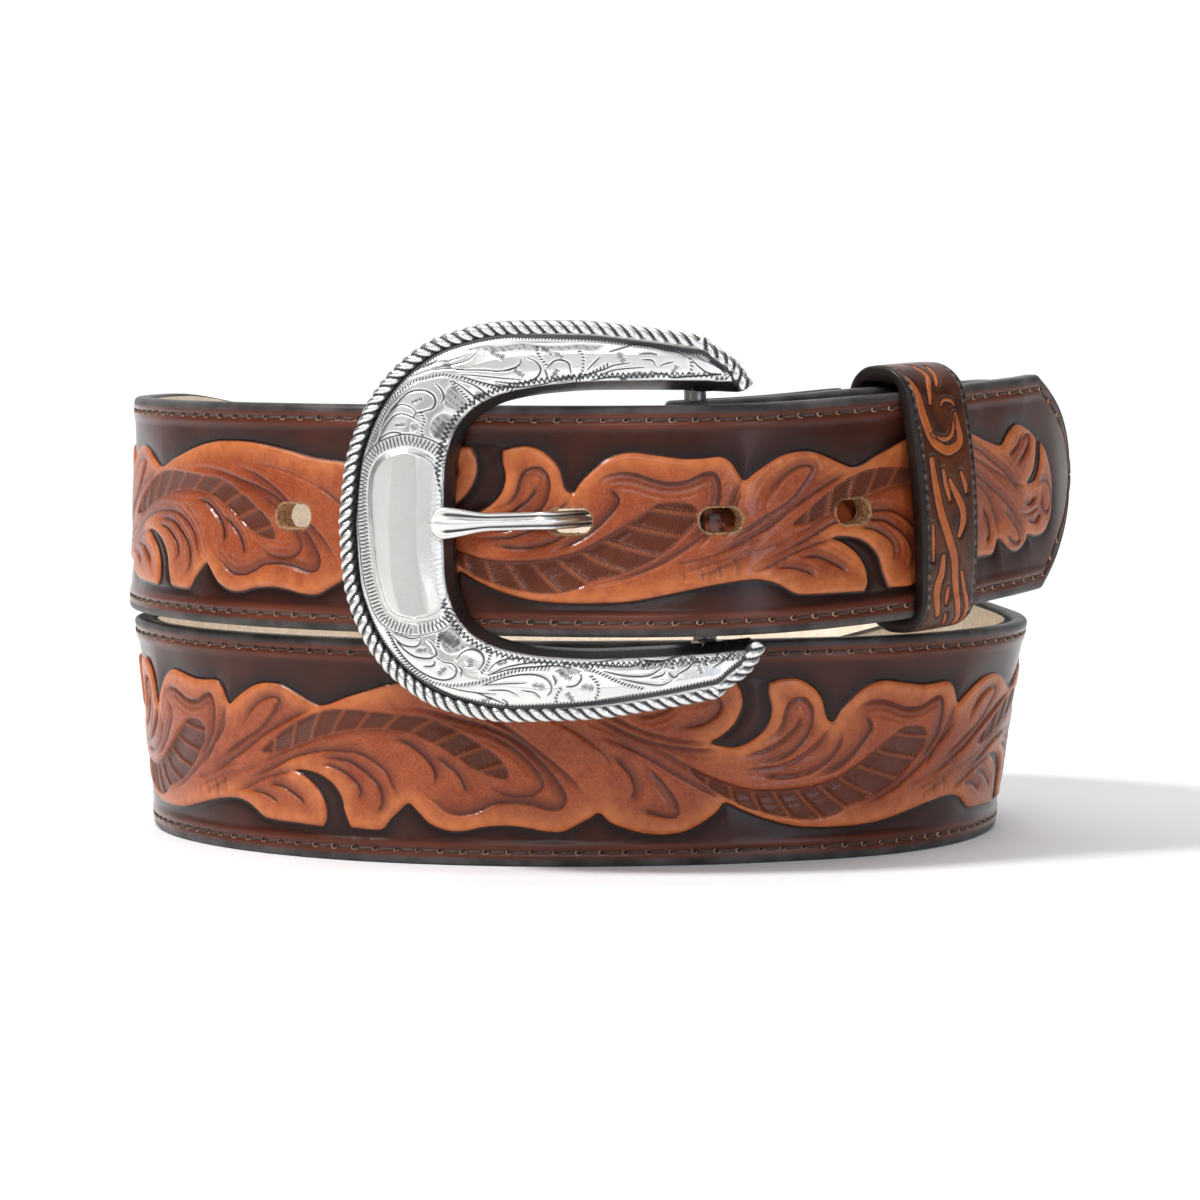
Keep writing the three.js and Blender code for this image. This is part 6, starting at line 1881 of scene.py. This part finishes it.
class LeatherColours(bpy.types.PropertyGroup):
    """Colours of the leather and its thread."""

    leaf: tint("Leaf", (0.335, 0.066, 0.0185), "Raised leaves")
    leaf_deep: tint("Leaf, deep", (0.245, 0.042, 0.013), "Darker clouds on the leaves")
    leaf_pale: tint("Leaf, pale", (0.53, 0.155, 0.046), "Paler specks on the leaves")
    shade: tint("Shading", (0.10, 0.017, 0.008), "Pressed shading within the leaves")
    ground: tint("Ground", (0.026, 0.0085, 0.0062), "Dark ground round the leaves")
    ground_red: tint("Ground, red", (0.06, 0.0155, 0.009), "Redder clouds on the ground")
    ground_deep: tint("Ground, deep", (0.012, 0.0055, 0.005), "Ground close beside the leaves")
    border: tint("Border", (0.125, 0.034, 0.02), "Border outside the stitches")
    vein: tint("Panel", (0.12, 0.028, 0.013), "Ribbed panels")
    vein_ridge: tint("Panel ridge", (0.25, 0.062, 0.022), "Ridges on the ribbed panels")
    knife: tint("Knife cut", (0.022, 0.007, 0.005), "Cuts of the swivel knife")
    groove: tint("Groove", (0.014, 0.008, 0.007), "Groove that the stitches lie in")
    edge: tint("Edge", (0.027, 0.023, 0.021), "Burnished edge")
    edge_worn: tint("Edge, worn", (0.08, 0.072, 0.068), "Paler parts of the edge")
    raw: tint("Raw leather", (0.50, 0.29, 0.15), "Leather inside the holes and on the back")
    raw_dark: tint("Raw leather, dark", (0.28, 0.14, 0.065), "Darker fibres of the raw leather")
    lining: tint("Lining", (0.98, 0.88, 0.74), "Suede lining")
    lining_dark: tint("Lining, dark", (0.90, 0.74, 0.56), "Darker clouds on the lining")
    # Painted shade: the colour given to the middle of each sewing hole in place of the shade inside it
    hole: tint("Sewing hole", (0.004, 0.003, 0.003), "Inside the sewing holes")
    thread: tint("Thread", (0.03, 0.016, 0.012), "Stitching thread")
    thread_worn: tint("Thread, worn", (0.085, 0.05, 0.036), "Worn parts of the thread")
    thread_light: tint("Keeper thread", (0.17, 0.135, 0.12), "Pale thread at the keeper's edges")
    keeper_ground: tint("Keeper ground", (0.036, 0.010, 0.004), "Ground of the keeper")
    keeper_warm: tint("Keeper, warm", (0.115, 0.030, 0.007), "Warmer clouds on the keeper")
    keeper_stroke: tint("Keeper stroke", (0.44, 0.115, 0.026), "Tooled strokes on the keeper")


class BuckleLook(bpy.types.PropertyGroup):
    """Colours of the buckle's metal."""

    silver: tint("Silver", (0.80, 0.79, 0.77), "Polished metal")
    silver_soft: tint("Silver, soft", (0.66, 0.65, 0.63), "Hazier clouds on the metal")
    oxide: tint("Blackening", (0.018, 0.018, 0.02), "Blackened cuts")
    oxide_worn: tint("Blackening, worn", (0.34, 0.34, 0.34), "Worn blackening")
    wall: tint("Window wall", (0.115, 0.115, 0.12), "Wall round the buckle's window")


class StudioLook(bpy.types.PropertyGroup):
    """Lights and lens."""

    key_power: power("Key light", 13.0, "Power of the small high light on the left")
    front_power: power("Front light", 5.4, "Power of the light above the camera")
    left_power: power("Left light", 1.3, "Power of the low softbox on the left")
    right_power: power("Right light", 3.8, "Power of the strip light on the right")
    top_power: power("Top light", 2.4, "Power of the light above")
    back_power: power("Back light", 14.0, "Power of the light on the sweep")
    lens: bpy.props.FloatProperty(name="Lens", description="Focal length in mm", default=131.4, min=1.0)
    air: bpy.props.FloatProperty(name="Air", description="Brightness of the surroundings", default=0.1,
                                 min=0.0)


class StrapOperator(bpy.types.Operator):
    """Builds the tooled strap"""

    bl_idname = "belt.strap"
    bl_label = "Tooled strap"

    def execute(self, context):
        build_strap(context.scene.belt_sizes, context.scene.belt_leather)
        return {"FINISHED"}


class LiningOperator(bpy.types.Operator):
    """Gives the lining its suede"""

    bl_idname = "belt.lining"
    bl_label = "Suede lining"

    def execute(self, context):
        build_lining(context.scene.belt_leather)
        return {"FINISHED"}


class StitchOperator(bpy.types.Operator):
    """Sews the strap's edges"""

    bl_idname = "belt.stitches"
    bl_label = "Stitches"

    def execute(self, context):
        build_stitches(context.scene.belt_sizes, context.scene.belt_leather)
        build_pierced_holes(context.scene.belt_sizes, context.scene.belt_leather)
        return {"FINISHED"}


class KeeperOperator(bpy.types.Operator):
    """Builds the keeper"""

    bl_idname = "belt.keeper"
    bl_label = "Keeper"

    def execute(self, context):
        build_keeper(context.scene.belt_leather)
        return {"FINISHED"}


class BuckleOperator(bpy.types.Operator):
    """Builds the engraved buckle, its rope rim and its bar"""

    bl_idname = "belt.buckle"
    bl_label = "Buckle"

    def execute(self, context):
        sizes, finish = context.scene.belt_sizes, silver_finish(context.scene.belt_buckle)
        build_plate(finish)
        build_rope(sizes, finish)
        build_bar(finish)
        build_tongue(finish)
        return {"FINISHED"}


class StudioOperator(bpy.types.Operator):
    """Sets up the floor, lights and camera"""

    bl_idname = "belt.studio"
    bl_label = "Studio"

    def execute(self, context):
        build_studio(context.scene.belt_studio)
        return {"FINISHED"}


OPERATORS = (StrapOperator, LiningOperator, StitchOperator, KeeperOperator, BuckleOperator, StudioOperator)


class BeltPanel(bpy.types.Panel):
    """Lists the belt's pieces and their sizes"""

    bl_idname = "VIEW3D_PT_belt"
    bl_label = "Western tooled belt"
    bl_space_type = "VIEW_3D"
    bl_region_type = "UI"
    bl_category = "Belt"

    def draw(self, context):
        for step in OPERATORS:
            self.layout.operator(step.bl_idname)
        for group in ("belt_sizes", "belt_leather", "belt_buckle", "belt_studio"):
            box = self.layout.box()
            values = getattr(context.scene, group)
            for key in values.bl_rna.properties.keys():
                if key not in ("rna_type", "name"):
                    box.prop(values, key)


GROUPS = {"belt_sizes": BeltSizes, "belt_leather": LeatherColours, "belt_buckle": BuckleLook,
          "belt_studio": StudioLook}


def register():
    for kind in (*GROUPS.values(), *OPERATORS, BeltPanel):
        bpy.utils.register_class(kind)
    for key, kind in GROUPS.items():
        setattr(bpy.types.Scene, key, bpy.props.PointerProperty(type=kind))


def unregister():
    for key in GROUPS:
        delattr(bpy.types.Scene, key)
    for kind in (BeltPanel, *OPERATORS[::-1], *list(GROUPS.values())[::-1]):
        bpy.utils.unregister_class(kind)


def main():
    register()
    for step in OPERATORS:
        group, name = step.bl_idname.split(".")
        getattr(getattr(bpy.ops, group), name)()
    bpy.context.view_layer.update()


if __name__ == "__main__":
    main()
